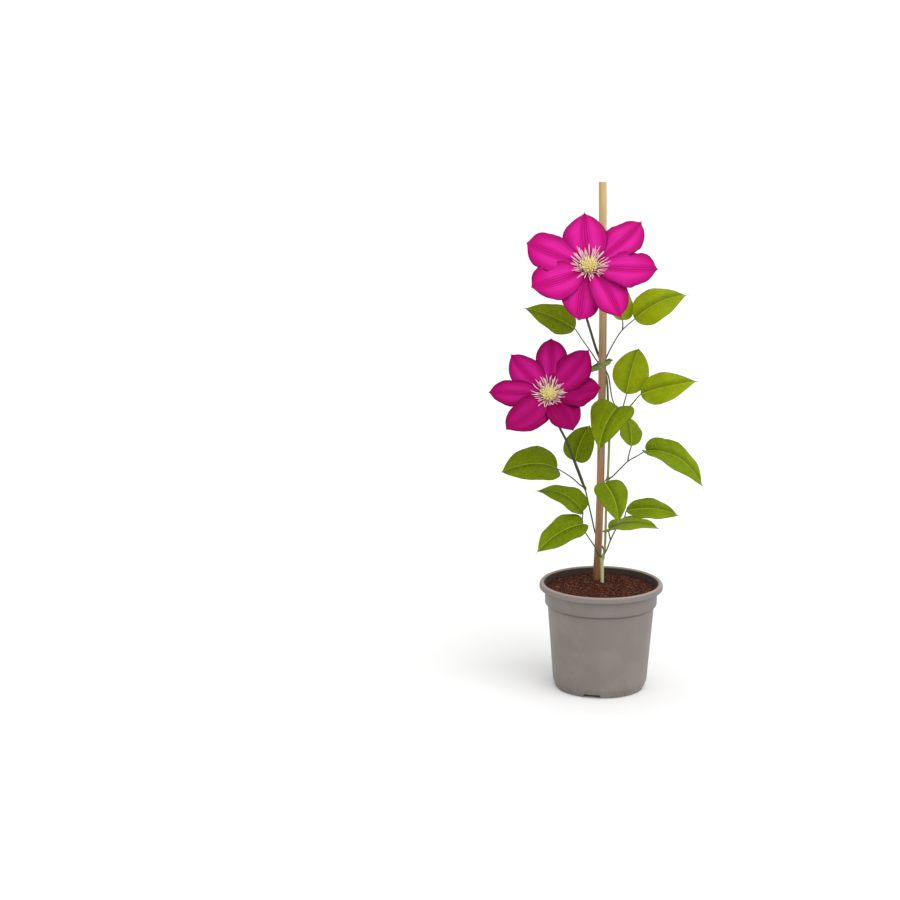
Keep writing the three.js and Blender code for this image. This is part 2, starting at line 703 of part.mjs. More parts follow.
// A soft band looped loosely round the cane, the shoot and the petioles beside it, and pinched
// into a short tail.
function makeTie() {
  const { centre, halfLength, halfDepth, slope: rise, width, thickness, sides } = TIE;
  const [low, high] = [-width / 2, width / 2];
  const section = [[0, low], [thickness, low], [thickness, high], [0, high]];
  const faces = [];
  const points = [];
  for (let i = 0; i < sides; i += 1) {
    const angle = (TURN * i) / sides;
    for (const [grow, height] of section) {
      const x = (halfLength + grow) * Math.cos(angle);
      const y = (halfDepth + grow) * Math.sin(angle);
      points.push([centre[0] + x, centre[1] + y, centre[2] + rise * x + height]);
    }
    for (let k = 0; k < 4; k += 1) {
      const [a, b] = [4 * i + k, 4 * i + ((k + 1) % 4)];
      const [c, d] = [(b + 4) % (4 * sides), (a + 4) % (4 * sides)];
      faces.push([a, c, b], [a, d, c]);
    }
  }
  const loop = solidOf(surface(points, faces));
  const end = vector(centre);
  end.add(new THREE.Vector3(halfLength + thickness / 2, 0, rise * halfLength));
  const tail = TIE.tail.map((step) => vector(step).add(end).toArray());
  return loop.add(tube(tail, TIE.tailRadii, STEM_SIDES));
}

// ---- The plant ---------------------------------------------------------------------------

const plant = new THREE.Group();

function addPiece(name, solid, finish, group = plant) {
  const mesh = new THREE.Mesh(geometryOf(solid), new THREE.MeshStandardMaterial(finish));
  mesh.name = name;
  group.add(mesh);
}

const stemsWithRoom = makeStem(CLEARANCE);

addPiece('pot', makePot(), FINISHES.pot);
addPiece('soil', makeSoil([makeCane(CLEARANCE), stemsWithRoom]), FINISHES.soil);
addPiece('cane', makeCane(), FINISHES.cane);
addPiece('stem', makeStem(), FINISHES.stem);
addPiece('tie', makeTie(), FINISHES.tie);
for (const leaf of LEAVES) {
  addPiece(leaf.name, makeLeaf(leaf, stemsWithRoom), FINISHES.leaf);
}
for (const bloom of BLOOMS) {
  const { quaternion, heart } = bloomFrame(bloom);
  const flower = new THREE.Group();
  flower.position.set(...heart);
  flower.quaternion.copy(quaternion);
  plant.add(flower);
  addPiece(`${bloom.name}_tepals`, makeTepals(bloom), FINISHES.tepal, flower);
  addPiece(`${bloom.name}_stamens`, makeStamens(bloom), FINISHES.stamen, flower);
  addPiece(`${bloom.name}_pistil`, makePistil(bloom), FINISHES.pistil, flower);
}

export default plant;
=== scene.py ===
"""Dresses a potted clematis: a young climbing plant on a bamboo cane, in a plastic nursery pot.

Shapes are worked out in millimetres, +Z up, the origin at the middle of the pot's underside and
the plant's face towards -Y. They become metres as each piece is placed.
"""
import logging
import math
from collections.abc import Callable
from dataclasses import dataclass, field
from enum import Enum
from typing import Any

import bpy
import numpy as np
from mathutils import Matrix, Vector, noise


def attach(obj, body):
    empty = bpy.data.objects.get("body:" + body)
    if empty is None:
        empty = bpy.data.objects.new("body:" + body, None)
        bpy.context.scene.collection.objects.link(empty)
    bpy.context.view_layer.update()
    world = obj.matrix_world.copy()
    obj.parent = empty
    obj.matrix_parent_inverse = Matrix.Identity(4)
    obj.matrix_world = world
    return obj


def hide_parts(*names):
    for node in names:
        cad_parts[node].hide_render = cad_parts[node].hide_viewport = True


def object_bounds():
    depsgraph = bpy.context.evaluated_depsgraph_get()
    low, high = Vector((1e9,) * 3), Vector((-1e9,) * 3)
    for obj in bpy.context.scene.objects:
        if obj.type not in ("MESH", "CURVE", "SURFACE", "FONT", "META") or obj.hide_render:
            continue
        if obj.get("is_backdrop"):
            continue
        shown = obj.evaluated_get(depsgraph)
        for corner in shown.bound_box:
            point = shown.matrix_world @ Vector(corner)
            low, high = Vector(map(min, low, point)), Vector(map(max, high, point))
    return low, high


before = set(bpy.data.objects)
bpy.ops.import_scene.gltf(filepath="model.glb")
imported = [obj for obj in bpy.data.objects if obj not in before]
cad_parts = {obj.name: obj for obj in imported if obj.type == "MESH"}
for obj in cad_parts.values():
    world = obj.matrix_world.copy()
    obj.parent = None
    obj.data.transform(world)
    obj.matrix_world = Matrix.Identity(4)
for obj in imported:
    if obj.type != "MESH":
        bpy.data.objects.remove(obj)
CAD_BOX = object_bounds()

LOG = logging.getLogger("clematis")
MM = 0.001
SWELL_FALL = 1.3  # how fast a stem joint tapers off
GOLDEN_ANGLE = math.radians(137.508)
LEAN_STEP, LENGTH_STEP = 0.618, 0.414  # what a whorl's stalks step by, so that neighbours differ
LIGHT = 1.2  # how much brighter than its own colour the studio's light shows a surface
CANE_JOINTS = (322.0, 523.0)  # the heights of the cane's leaf joints
BLADE_VALUES = ("across", "half", "along", "upper", "tint")  # the numbers that a blade's points carry

Point = tuple[float, float, float]
Colour = tuple[float, float, float]
Span = tuple[float, float]


def shade(red: float, green: float, blue: float) -> Colour:
    """Turns a colour as it looks in the studio's light, 0 to 255, into the linear one a shader takes."""
    def linear(value: float) -> float:
        """One channel of the colour."""
        part = value / 255
        return (part / 12.92 if part <= 0.04045 else ((part + 0.055) / 1.055) ** 2.4) / LIGHT
    return linear(red), linear(green), linear(blue)


def linked(name: str, data: Any) -> bpy.types.Object:
    """A new object in the scene."""
    made = bpy.data.objects.new(name, data)
    bpy.context.scene.collection.objects.link(made)
    return made


def removed(*things: bpy.types.Object) -> None:
    """Takes objects and their meshes out of the file."""
    for thing in things:
        mesh = thing.data
        bpy.data.objects.remove(thing)
        bpy.data.meshes.remove(mesh)


# ---- Node trees written as Python ---------------------------------------------------------


def operator(operation: str, swapped: bool = False) -> Callable[["Term", Any], "Term"]:
    """One of Python's operators, as a method that adds a node.

    Args:
        operation: the operation's name, the same for Math and Vector Math.
        swapped: whether the term stands on the right.

    Returns:
        The method, which takes a term, a number or a triple.
    """
    def method(term: "Term", other: Any) -> "Term":
        """The result of the term and the other."""
        sides = (other, term) if swapped else (term, other)
        if any(isinstance(s, tuple) or (isinstance(s, Term) and s.socket.type == "VECTOR") for s in sides):
            triples = [(s, s, s) if isinstance(s, (int, float)) else s for s in sides]
            return term.recipe.node("ShaderNodeVectorMath", {"operation": operation},
                                    dict(enumerate(triples)))["Vector"]
        return term.recipe.maths(operation, *sides)
    return method


class Term:
    """An output of a node, which Python's operators join into further nodes."""

    __add__, __radd__ = operator("ADD"), operator("ADD", True)
    __sub__, __rsub__ = operator("SUBTRACT"), operator("SUBTRACT", True)
    __mul__, __rmul__ = operator("MULTIPLY"), operator("MULTIPLY", True)
    __truediv__, __pow__, __gt__ = operator("DIVIDE"), operator("POWER"), operator("GREATER_THAN")

    def __init__(self, recipe: "Recipe", socket: bpy.types.NodeSocket) -> None:
        """Keeps the tree that the output belongs to, and the output."""
        self.recipe = recipe
        self.socket = socket

    def __abs__(self) -> "Term":
        """The size of self."""
        return self.recipe.maths("ABSOLUTE", self)


class Outputs:
    """The outputs of one node, by name or number."""

    def __init__(self, recipe: "Recipe", node: bpy.types.Node) -> None:
        """Keeps the tree and the node."""
        self.recipe = recipe
        self.node = node

    def __getitem__(self, key: str | int) -> Term:
        """The output with that number, or the first one in use with that name."""
        return Term(self.recipe, pick(self.node.outputs, key))


def pick(sockets: Any, key: str | int) -> bpy.types.NodeSocket:
    """The socket with that number, or the first one in use with that name."""
    return sockets[key] if isinstance(key, int) else next(s for s in sockets if s.name == key and s.enabled)


class Recipe:
    """A node tree being written."""

    def __init__(self, tree: bpy.types.NodeTree) -> None:
        """Starts from an existing tree."""
        self.tree = tree

    def node(self, kind: str, settings: dict[str, Any] | None = None,
             sockets: dict[str | int, Any] | None = None) -> Outputs:
        """Adds any node.

        Args:
            kind: the node's type.
            settings: its properties, set first; stops are those of a colour ramp.
            sockets: a value or a term for its inputs, by number or name.

        Returns:
            The node's outputs.
        """
        made = self.tree.nodes.new(kind)
        for name, value in (settings or {}).items():
            if name == "stops":
                self._set_stops(made.color_ramp, value)
            else:
                setattr(made, name, value)
        for key, value in (sockets or {}).items():
            self._feed(pick(made.inputs, key), value)
        return Outputs(self, made)

    def _feed(self, target: bpy.types.NodeSocket, value: Any) -> None:
        """Links a term to an input, or sets the input's own value."""
        if isinstance(value, Term):
            self.tree.links.new(value.socket, target)
        elif target.type == "RGBA" and len(value) == 3:
            target.default_value = (*value, 1.0)
        else:
            target.default_value = value

    @staticmethod
    def _set_stops(ramp: bpy.types.ColorRamp, stops: tuple[tuple[float, Colour], ...]) -> None:
        """Gives a colour ramp its stops in order, each a place from 0 to 1 and a colour."""
        for place, _ in stops[1:-1]:
            ramp.elements.new(place)
        for element, (place, colour) in zip(ramp.elements, stops):
            element.position = place
            element.color = (*colour, 1.0)

    def maths(self, operation: str, *values: Any) -> Term:
        """One Math node of that operation."""
        return self.node("ShaderNodeMath", {"operation": operation}, dict(enumerate(values)))["Value"]

    def between(self, value: Term, start: float, end: float) -> Term:
        """A smooth step from 0 where value is at start to 1 where it is at end, upwards or downwards."""
        return self.node("ShaderNodeMapRange", {"interpolation_type": "SMOOTHSTEP"},
                         {"Value": value, "From Min": start, "From Max": end})["Result"]

    def noise(self, where: Term, scale: Any, detail: float = 3.0, roughness: float = 0.55) -> Term:
        """Soft noise about 0.5, scale being its lumps per millimetre."""
        return self.node("ShaderNodeTexNoise", None,
                         {"Vector": where, "Scale": scale, "Detail": detail, "Roughness": roughness})[0]

    def parts(self, vector: Term) -> tuple[Term, Term, Term]:
        """A vector's three numbers."""
        split = self.node("ShaderNodeSeparateXYZ", None, {0: vector})
        return split[0], split[1], split[2]

    def vector(self, x: Any, y: Any, z: Any) -> Term:
        """A vector from three numbers."""
        return self.node("ShaderNodeCombineXYZ", None, {0: x, 1: y, 2: z})[0]


class Paint(Recipe):
    """A material being written."""

    def __init__(self, name: str) -> None:
        """Starts a material with nothing in its tree."""
        made = bpy.data.materials.new(name)
        made.use_nodes = True
        made.node_tree.nodes.clear()
        super().__init__(made.node_tree)

    def place(self) -> Term:
        """Where a spot lies on the finished plant, in millimetres."""
        return self.node("ShaderNodeTexCoord")["Object"] * (1 / MM)

    def attribute(self, name: str, output: str = "Fac") -> Term:
        """A number stored on the piece's points, or a vector where the output is Vector."""
        return self.node("ShaderNodeAttribute", {"attribute_name": name})[output]

    def ramp(self, value: Term, *stops: tuple[float, Colour]) -> Term:
        """A colour that runs through the stops, given in order, as value goes from 0 to 1."""
        return self.node("ShaderNodeValToRGB", {"stops": stops}, {"Fac": value})["Color"]

    def coats(self, first: Any, *later: tuple[Any, Any]) -> Term:
        """A colour under further coats, each a colour and how much of it shows."""
        for colour, share in later:
            first = self.node("ShaderNodeMix", {"data_type": "RGBA", "clamp_factor": True},
                              {"Factor": share, "A": first, "B": colour})["Result"]
        return first

    def cells(self, where: Term, scale: float, wall: float) -> Term:
        """1 on the walls of irregular cells, 0 past that distance from them."""
        edge = self.node("ShaderNodeTexVoronoi", {"feature": "DISTANCE_TO_EDGE"},
                         {"Vector": where, "Scale": scale})
        return self.between(edge["Distance"], wall, 0.0)

    def relief(self, height: Term, depth: float, under: Term | None = None) -> Term:
        """A normal tilted by a height from 0 to 1 that stands for depth millimetres."""
        sockets = {"Height": height, "Distance": depth * MM, "Strength": 1.0}
        if under is not None:
            sockets["Normal"] = under
        return self.node("ShaderNodeBump", None, sockets)["Normal"]

    def close(self, colour: Term, roughness: Any, gloss: float, normal: Term | None = None) -> None:
        """Ends the material.

        Args:
            colour: its colour all over.
            roughness: a term, or a number where it is the same all over.
            gloss: the shader's specular level.
            normal: its relief.
        """
        sockets = {"Base Color": colour, "Roughness": roughness, "Specular IOR Level": gloss}
        if normal is not None:
            sockets["Normal"] = normal
        shader = self.node("ShaderNodeBsdfPrincipled", None, sockets)
        self.node("ShaderNodeOutputMaterial", None, {"Surface": shader["BSDF"]})


class Growth(Recipe):
    """A geometry tree being written, with named inputs for its sizes."""

    KINDS = {int: "NodeSocketInt", float: "NodeSocketFloat"}

    def __init__(self, name: str, sizes: dict[str, int | float]) -> None:
        """Starts a tree.

        Args:
            name: the tree's name.
            sizes: its inputs and their usual values.
        """
        tree = bpy.data.node_groups.new(name, "GeometryNodeTree")
        super().__init__(tree)
        for way in ("INPUT", "OUTPUT"):
            tree.interface.new_socket("Geometry", in_out=way, socket_type="NodeSocketGeometry")
        self.sockets = {}
        for label, value in sizes.items():
            item = tree.interface.new_socket(label, in_out="INPUT", socket_type=self.KINDS[type(value)])
            item.default_value = value
            self.sockets[label] = item.identifier
        item = tree.interface.new_socket("Finish", in_out="INPUT", socket_type="NodeSocketMaterial")
        self.sockets["Finish"] = item.identifier
        self.given = Outputs(self, tree.nodes.new("NodeGroupInput"))

    def stored(self, name: str, kind: str = "FLOAT") -> Term:
        """What the points carry under that name."""
        return self.node("GeometryNodeInputNamedAttribute", {"data_type": kind}, {"Name": name})["Attribute"]

    def store(self, geometry: Term, name: str, value: Term, domain: str = "POINT",
              kind: str = "FLOAT") -> Term:
        """Makes the geometry carry a value under that name."""
        return self.node("GeometryNodeStoreNamedAttribute", {"data_type": kind, "domain": domain},
                         {"Geometry": geometry, "Name": name, "Value": value})["Geometry"]

    def chance(self, low: Any, high: Any, seed: Any) -> Term:
        """A random number for each element, or a random vector where the ends are triples."""
        kind = "FLOAT_VECTOR" if isinstance(low, tuple) else "FLOAT"
        return self.node("FunctionNodeRandomValue", {"data_type": kind},
                         {"Min": low, "Max": high, "Seed": seed})["Value"]

    def real(self, instances: Term) -> Term:
        """The instances as geometry of their own."""
        return self.node("GeometryNodeRealizeInstances", None, {"Geometry": instances})["Geometry"]

    def moved(self, geometry: Term, offset: Term) -> Term:
        """The geometry with each of its points moved."""
        return self.node("GeometryNodeSetPosition", None,
                         {"Geometry": geometry, "Offset": offset})["Geometry"]

    def joined(self, *geometries: Term) -> Term:
        """Several geometries as one, in that order."""
        whole = self.node("GeometryNodeJoinGeometry")
        for geometry in geometries:
            self.tree.links.new(geometry.socket, whole.node.inputs[0])
        return whole["Geometry"]

    def tube(self, line: Term, sides: Term, flat: Term, thick: Term) -> Term:
        """Sweeps a section along curves.

        Args:
            line: the curves.
            sides: the section's corners.
            flat: its second half width, where the first is 1.
            thick: what the section is scaled by along the curves.

        Returns:
            A mesh with closed ends.
        """
        circle = self.node("GeometryNodeCurvePrimitiveCircle", None, {"Resolution": sides, "Radius": 1.0})
        section = self.node("GeometryNodeTransform", None,
                            {"Geometry": circle["Curve"], "Scale": self.vector(1.0, flat, 1.0)})
        return self.node("GeometryNodeCurveToMesh", None, {
            "Curve": line, "Profile Curve": section["Geometry"], "Scale": thick, "Fill Caps": True,
        })["Mesh"]

    def end(self, geometry: Term) -> None:
        """Realizes, smooths and dresses the result, and hands it out."""
        smooth = self.node("GeometryNodeSetShadeSmooth", None, {"Geometry": self.real(geometry)})["Geometry"]
        dressed = self.node("GeometryNodeSetMaterial", None,
                            {"Geometry": smooth, "Material": self.given["Finish"]})["Geometry"]
        self.node("NodeGroupOutput", None, {0: dressed})

    def grow(self, mesh: bpy.types.Mesh, finish: "Finish", **sizes: int | float) -> bpy.types.Mesh:
        """Runs the tree on a mesh.

        Args:
            mesh: what the tree starts from; it is used up.
            finish: the finish of the result.
            sizes: values for the named inputs, with _ for a blank.

        Returns:
            A plain mesh.
        """
        carrier = linked("carrier", mesh)
        modifier = carrier.modifiers.new(self.tree.name, "NODES")
        modifier.node_group = self.tree
        modifier[self.sockets["Finish"]] = finish.material()
        for label, value in sizes.items():
            modifier[self.sockets[label.replace("_", " ")]] = value
        graph = bpy.context.evaluated_depsgraph_get()
        grown = bpy.data.meshes.new_from_object(
            carrier.evaluated_get(graph), preserve_all_data_layers=True, depsgraph=graph)
        carrier.modifiers.remove(modifier)
        removed(carrier)
        return grown


# ---- Geometry trees -----------------------------------------------------------------------


class Sweep(Growth):
    """Sweeps a round or flat section along lines whose points carry their thickness."""

    def __init__(self, upright: bool = False) -> None:
        """Writes the tree; upright keeps a flat section's long side along Z."""
        super().__init__("sweep_upright" if upright else "sweep", {"Sides": 12, "Height": 1.0})
        line = self.node("GeometryNodeMeshToCurve", None, {"Mesh": self.given["Geometry"]})["Curve"]
        if upright:
            line = self.node("GeometryNodeSetCurveNormal", {"mode": "Z_UP"}, {"Curve": line})["Curve"]
        self.end(self.tube(line, self.given["Sides"], self.given["Height"], self.stored("thick")))


class Ribs(Growth):
    """Presses ribs into a blade, along lines that keep their share of its width."""

    def __init__(self) -> None:
        """Writes the tree."""
        super().__init__("ribs", {
            "Depth": 0.35, "Width": 1.0, "Inner": 0.38, "Outer": 0.74, "Side Share": 0.7,
            "Pucker": 0.2, "Pucker Size": 0.15,
        })
        given = self.given
        across, half, along = (self.stored(name) for name in ("across", "half", "along"))
        out = abs(across)
        def rib(place: Any) -> Term:
            """1 on the rib at that share of the width, 0 beside it."""
            return self.between(abs(out - place) * half / given["Width"], 1.0, 0.0)
        sides = (rib(given["Inner"]) + rib(given["Outer"])) * given["Side Share"]
        ribs = (rib(0.0) + sides) * (1 - along ** 3.0)
        lumps = self.noise(self.stored("flat", "FLOAT_VECTOR"), given["Pucker Size"], 2.0, 0.5)
        height = (lumps - 0.5) * given["Pucker"] - ribs * given["Depth"]
        self.end(self.moved(given["Geometry"], self.stored("lift", "FLOAT_VECTOR") * height))


class Crumbs(Growth):
    """Strews crumbs and bark chips over the top of the compost."""

    def __init__(self) -> None:
        """Writes the tree."""
        super().__init__("crumbs", {
            "Crumb Density": 0.46, "Crumb Size": 0.78, "Chip Density": 0.06, "Chip Size": 0.95,
            "Least Height": 118.0, "Reach": 64.0, "Roughness": 1.3, "Seed": 4,
        })
        ground, seed = self.given["Geometry"], self.given["Seed"]
        up = self.parts(self.node("GeometryNodeInputNormal")["Normal"])[2]
        where = self.node("GeometryNodeInputPosition")["Position"]
        x, y, height = self.parts(where)
        out = (x * x + y * y) ** 0.5
        top = (up > 0.4) * (height > self.given["Least Height"]) * (self.given["Reach"] > out)
        ball = self.node("GeometryNodeMeshIcoSphere", None, {"Radius": 1.0, "Subdivisions": 1})["Mesh"]
        chip = self.node("GeometryNodeMeshCube", None, {"Size": (2.6, 1.0, 0.6)})["Mesh"]
        strewn = self.real(self.joined(self._strewn(ground, top, ball, "Crumb", seed),
                                       self._strewn(ground, top, chip, "Chip", seed + 7)))
        rough = self.node("ShaderNodeTexNoise", None, {"Vector": where, "Scale": 0.9, "Detail": 2.0})["Color"]
        uneven = self.moved(strewn, (rough - (0.5, 0.5, 0.5)) * self.given["Roughness"])
        self.end(self.joined(ground, uneven))

    def _strewn(self, ground: Term, top: Term, shape: Term, kind: str, seed: Term) -> Term:
        """Strews one shape.

        Args:
            ground: the compost.
            top: 1 on the faces that take crumbs.
            shape: the shape, about 1 mm in half width.
            kind: the word that its inputs begin with.
            seed: sets its random draws.

        Returns:
            The instances, which carry their tint.
        """
        points = self.node("GeometryNodeDistributePointsOnFaces", {"distribute_method": "RANDOM"}, {
            "Mesh": ground, "Selection": top, "Density": self.given[f"{kind} Density"], "Seed": seed,
        })["Points"]
        size = (0.4 + self.chance(0.0, 1.0, seed + 1) ** 2.0) * self.given[f"{kind} Size"]
        squash = self.chance((0.7, 0.7, 0.5), (1.2, 1.2, 0.9), seed + 2)
        turn = self.chance((-0.5, -0.5, 0.0), (0.5, 0.5, 6.3), seed + 3)
        placed = self.node("GeometryNodeInstanceOnPoints", None, {
            "Points": points, "Instance": shape, "Scale": squash * size,
            "Rotation": self.node("FunctionNodeEulerToRotation", None, {0: turn})[0],
        })["Instances"]
        return self.store(placed, "tint", self.chance(0.15, 1.0, seed + 4), "INSTANCE")


class Whorl(Growth):
    """Sets slim stalks round a heart by the golden angle, in a ring or all over a disc."""

    def __init__(self) -> None:
        """Writes the tree. It starts from nothing, so the mesh given to it is empty."""
        super().__init__("whorl", {
            "Count": 36, "Ring": 6.9, "Fill": 0.0, "Foot": 2.4, "Least Lean": 36.0, "Lean Range": 36.0,
            "Length": 20.0, "Least Length": 0.85, "Length Range": 0.2, "Thick": 0.5, "Head": 0.7,
            "Head Start": 0.5, "Curl": 0.12, "Flat": 0.6, "Rows": 9, "Sides": 6, "Seed": 1,
        })
        given = self.given
        index = self.node("GeometryNodeInputIndex")["Index"]
        part = ((index + 0.5) / given["Count"]) ** 0.5
        fill = given["Fill"]
        stepped, grown = self.maths("FRACT", index * LEAN_STEP), self.maths("FRACT", index * LENGTH_STEP)
        share = stepped + (part - stepped) * fill
        lean = (given["Least Lean"] * (1 - fill) + given["Lean Range"] * share) * math.radians(1)
        turn = index * GOLDEN_ANGLE + self.chance(-0.12, 0.12, given["Seed"])
        out = given["Ring"] * (1 + (part - 1) * fill)
        reach = given["Length"] * (given["Least Length"] + given["Length Range"] * grown)
        cosine, sine = self.maths("COSINE", turn), self.maths("SINE", turn)
        side, ahead = self.maths("SINE", lean), self.maths("COSINE", lean)
        look = self.vector(cosine * side, sine * side, ahead)
        points = self.node("GeometryNodePoints", None, {
            "Count": given["Count"], "Position": self.vector(out * cosine, out * sine, given["Foot"]),
        })["Points"]
        line = self.node("GeometryNodeResampleCurve", None, {
            "Curve": self.node("GeometryNodeCurvePrimitiveLine", None, {"End": (0.0, 0.0, 1.0)})["Curve"],
            "Count": given["Rows"],
        })["Curve"]
        upright = self.node("FunctionNodeAlignRotationToVector", {"axis": "Z"}, {"Vector": look})
        placed = self.node("GeometryNodeInstanceOnPoints", None, {
            "Points": points, "Instance": line, "Scale": reach * (1.0, 1.0, 1.0),
            "Rotation": upright["Rotation"],
        })["Instances"]
        placed = self.store(placed, "tint", self.chance(0.0, 1.0, given["Seed"] + 1), "INSTANCE")
        sway = self.chance((-1.0, -1.0, -0.4), (1.0, 1.0, 1.4), given["Seed"] + 2)
        placed = self.store(placed, "sway", sway * given["Length"], "INSTANCE", "FLOAT_VECTOR")
        along = self.node("GeometryNodeSplineParameter")["Factor"]
        lines = self.store(self.real(placed), "along", along)
        bent = self.moved(lines, self.stored("sway", "FLOAT_VECTOR") * (along ** 2.0) * given["Curl"])
        swollen = self.between(along - given["Head Start"], 0.0, 0.12) * given["Head"]
        thick = given["Thick"] * (0.8 + swollen) * (1 - 0.75 * self.between(along, 0.86, 1.0))
        self.end(self.tube(bent, given["Sides"], given["Flat"], thick))


# ---- Finishes -----------------------------------------------------------------------------


@dataclass(frozen=True)
class PotPlastic:
    """Matt taupe plastic, moulded, with a little dust and compost on it, a painted highlight on the rim's top
    and painted shade in its creases, on its inner wall and under it.
    """

    body: Colour = shade(131, 123, 118)
    worn: Colour = shade(145, 137, 130)
    # Painted highlight: the lighter colour painted along the top of the rim.
    lip_highlight: Colour = shade(178, 160, 148)
    # Painted shade: the dark colour painted in the creases, on the inner wall and underneath.
    inside: Colour = shade(62, 52, 46)
    dirt: Colour = shade(74, 52, 38)
    # Heights of the painted highlight along the top of the rim.
    lip_highlight_heights: Span = (129.0, 130.6)
    # Heights of the painted shade lines under the rim and under the collar.
    rim_crease: float = 123.5
    collar_crease: float = 103.4
    bore: float = 67.6
    rim_bore: float = 1.6
    # Where the painted shade in the hollow underneath reaches.
    underside_shade_heights: Span = (5.0, 4.7)
    underside_shade_radii: Span = (49.0, 48.0)

    def write(self, paint: Paint) -> None:
        """Writes the material."""
        where = paint.place()
        x, y, z = paint.parts(where)
        radius = (x * x + y * y) ** 0.5
        cloud = paint.noise(where, 0.03, 4.0)
        streak = paint.noise(where * (1.0, 1.0, 0.06), 0.5)
        grain = paint.noise(where, 2.6, 2.0)
        foot = paint.between(z, 16.0, 2.0) * paint.between(streak, 0.35, 0.75)
        splash = paint.between(paint.noise(where, 0.22, 4.0, 0.7), 0.6, 0.72) * paint.between(z, 60.0, 20.0)
        # Painted shade: dark lines in the creases under the rim and under the collar.
        crease_shade = (paint.between(abs(z - self.rim_crease), 1.0, 0.3) * 0.6
                   + paint.between(abs(z - self.collar_crease), 0.9, 0.2) * 0.4)
        # Painted shade on the inner wall above the compost, partly dirt, with soil smears over it.
        bore = self.bore + self.rim_bore * paint.between(z, 123.0, 125.0)
        inner_shade_and_dirt = paint.between(radius - bore, 0.4, -0.4) * paint.between(z, 100.0, 108.0)
        smear = paint.between(z + (cloud - 0.5) * 14.0, 128.5, 122.0)
        # Painted shade in the hollow underneath, seen through the notches.
        under = paint.between(z, *self.underside_shade_heights) * paint.between(radius, *self.underside_shade_radii)
        colour = paint.coats(
            self.body, (self.worn, paint.between(cloud, 0.42, 0.66) * 0.5), (self.dirt, foot * 0.28),
            # The lip colour is a painted highlight on the rim's top.
            (self.dirt, splash * 0.18), (self.lip_highlight, paint.between(z, *self.lip_highlight_heights) * 0.8),
            (self.inside, crease_shade), (paint.coats(self.inside, (self.dirt, smear * 0.7)), inner_shade_and_dirt),
            (self.inside, under * 0.95))
        roughness = 0.5 + (grain - 0.5) * 0.2 + inner_shade_and_dirt * 0.25 + foot * 0.15
        paint.close(colour, roughness, 0.3, paint.relief(grain, 0.05, paint.relief(cloud, 0.1)))


@dataclass(frozen=True)
class Compost:
    """Damp peat with bark and fibre."""

    shadow: Colour = shade(52, 22, 14)
    peat: Colour = shade(92, 42, 27)
    bark: Colour = shade(122, 64, 42)
    chip: Colour = shade(158, 104, 72)
    fibre: Colour = shade(196, 152, 110)

    def write(self, paint: Paint) -> None:
        """Writes the material."""
        where = paint.place()
        speck = paint.noise(where, 1.4, 3.0, 0.7)
        patch = paint.noise(where, 0.07, 2.0)
        tone = paint.attribute("tint") * 0.72 + (speck - 0.5) * 0.55 + (patch - 0.5) * 0.3
        colour = paint.ramp(tone, (0.05, self.shadow), (0.3, self.peat), (0.56, self.bark), (0.74, self.chip),
                            (0.9, self.fibre))
        paint.close(colour, 0.94, 0.25, paint.relief(speck, 0.5))


@dataclass(frozen=True)
class Bamboo:
    """A dry cane, straw yellow above and pinkish brown below, partly from weathering and partly painted light
    and shade, with painted shade on its flanks.
    """

    # By height: partly weathering, partly painted light, the top lighter where it is lit and the foot darker
    # where it is shaded.
    top: Colour = shade(216, 184, 126)
    middle: Colour = shade(160, 134, 88)
    low: Colour = shade(190, 138, 96)
    foot: Colour = shade(152, 104, 52)
    line: Colour = shade(98, 68, 42)
    gleam: Colour = shade(226, 200, 158)
    height: float = 620.0

    def write(self, paint: Paint) -> None:
        """Writes the material."""
        where = paint.place()
        x, _, z = paint.parts(where)
        fibre = paint.noise(where * (1.0, 1.0, 0.012), 1.8, 4.0, 0.6)
        mottle = paint.noise(where * (1.0, 1.0, 0.25), 0.12)
        rings = []
        for joint in CANE_JOINTS:
            away = abs(z - joint)
            rings += [(self.line, paint.between(away, 1.3, 0.3) * 0.75),
                      (self.gleam, paint.between(abs(away - 2.6), 1.6, 0.4) * 0.35)]
        # Painted shade down both flanks of the cane, less towards the top.
        flank_shade = paint.between(abs(x + 0.9), 3.0, 4.9) * (1 - paint.between(z, 420.0, 560.0) * 0.6)
        freckle = paint.between(paint.noise(where * (1.0, 1.0, 0.4), 0.9, 2.0), 0.7, 0.76)
        # Colour by height, partly painted light and shade.
        level = (z + (mottle - 0.5) * 60.0) / self.height
        colour = paint.coats(
            paint.ramp(level, (0.18, self.foot), (0.36, self.low), (0.66, self.middle), (0.84, self.top)),
            (self.line, paint.between(fibre, 0.54, 0.72) * 0.62),
            (self.gleam, paint.between(fibre, 0.46, 0.26) * 0.42),
            *rings, (self.line, flank_shade * 0.5), (self.line, freckle * 0.5))
        paint.close(colour, 0.46 + (fibre - 0.5) * 0.3, 0.4, paint.relief(fibre, 0.12))


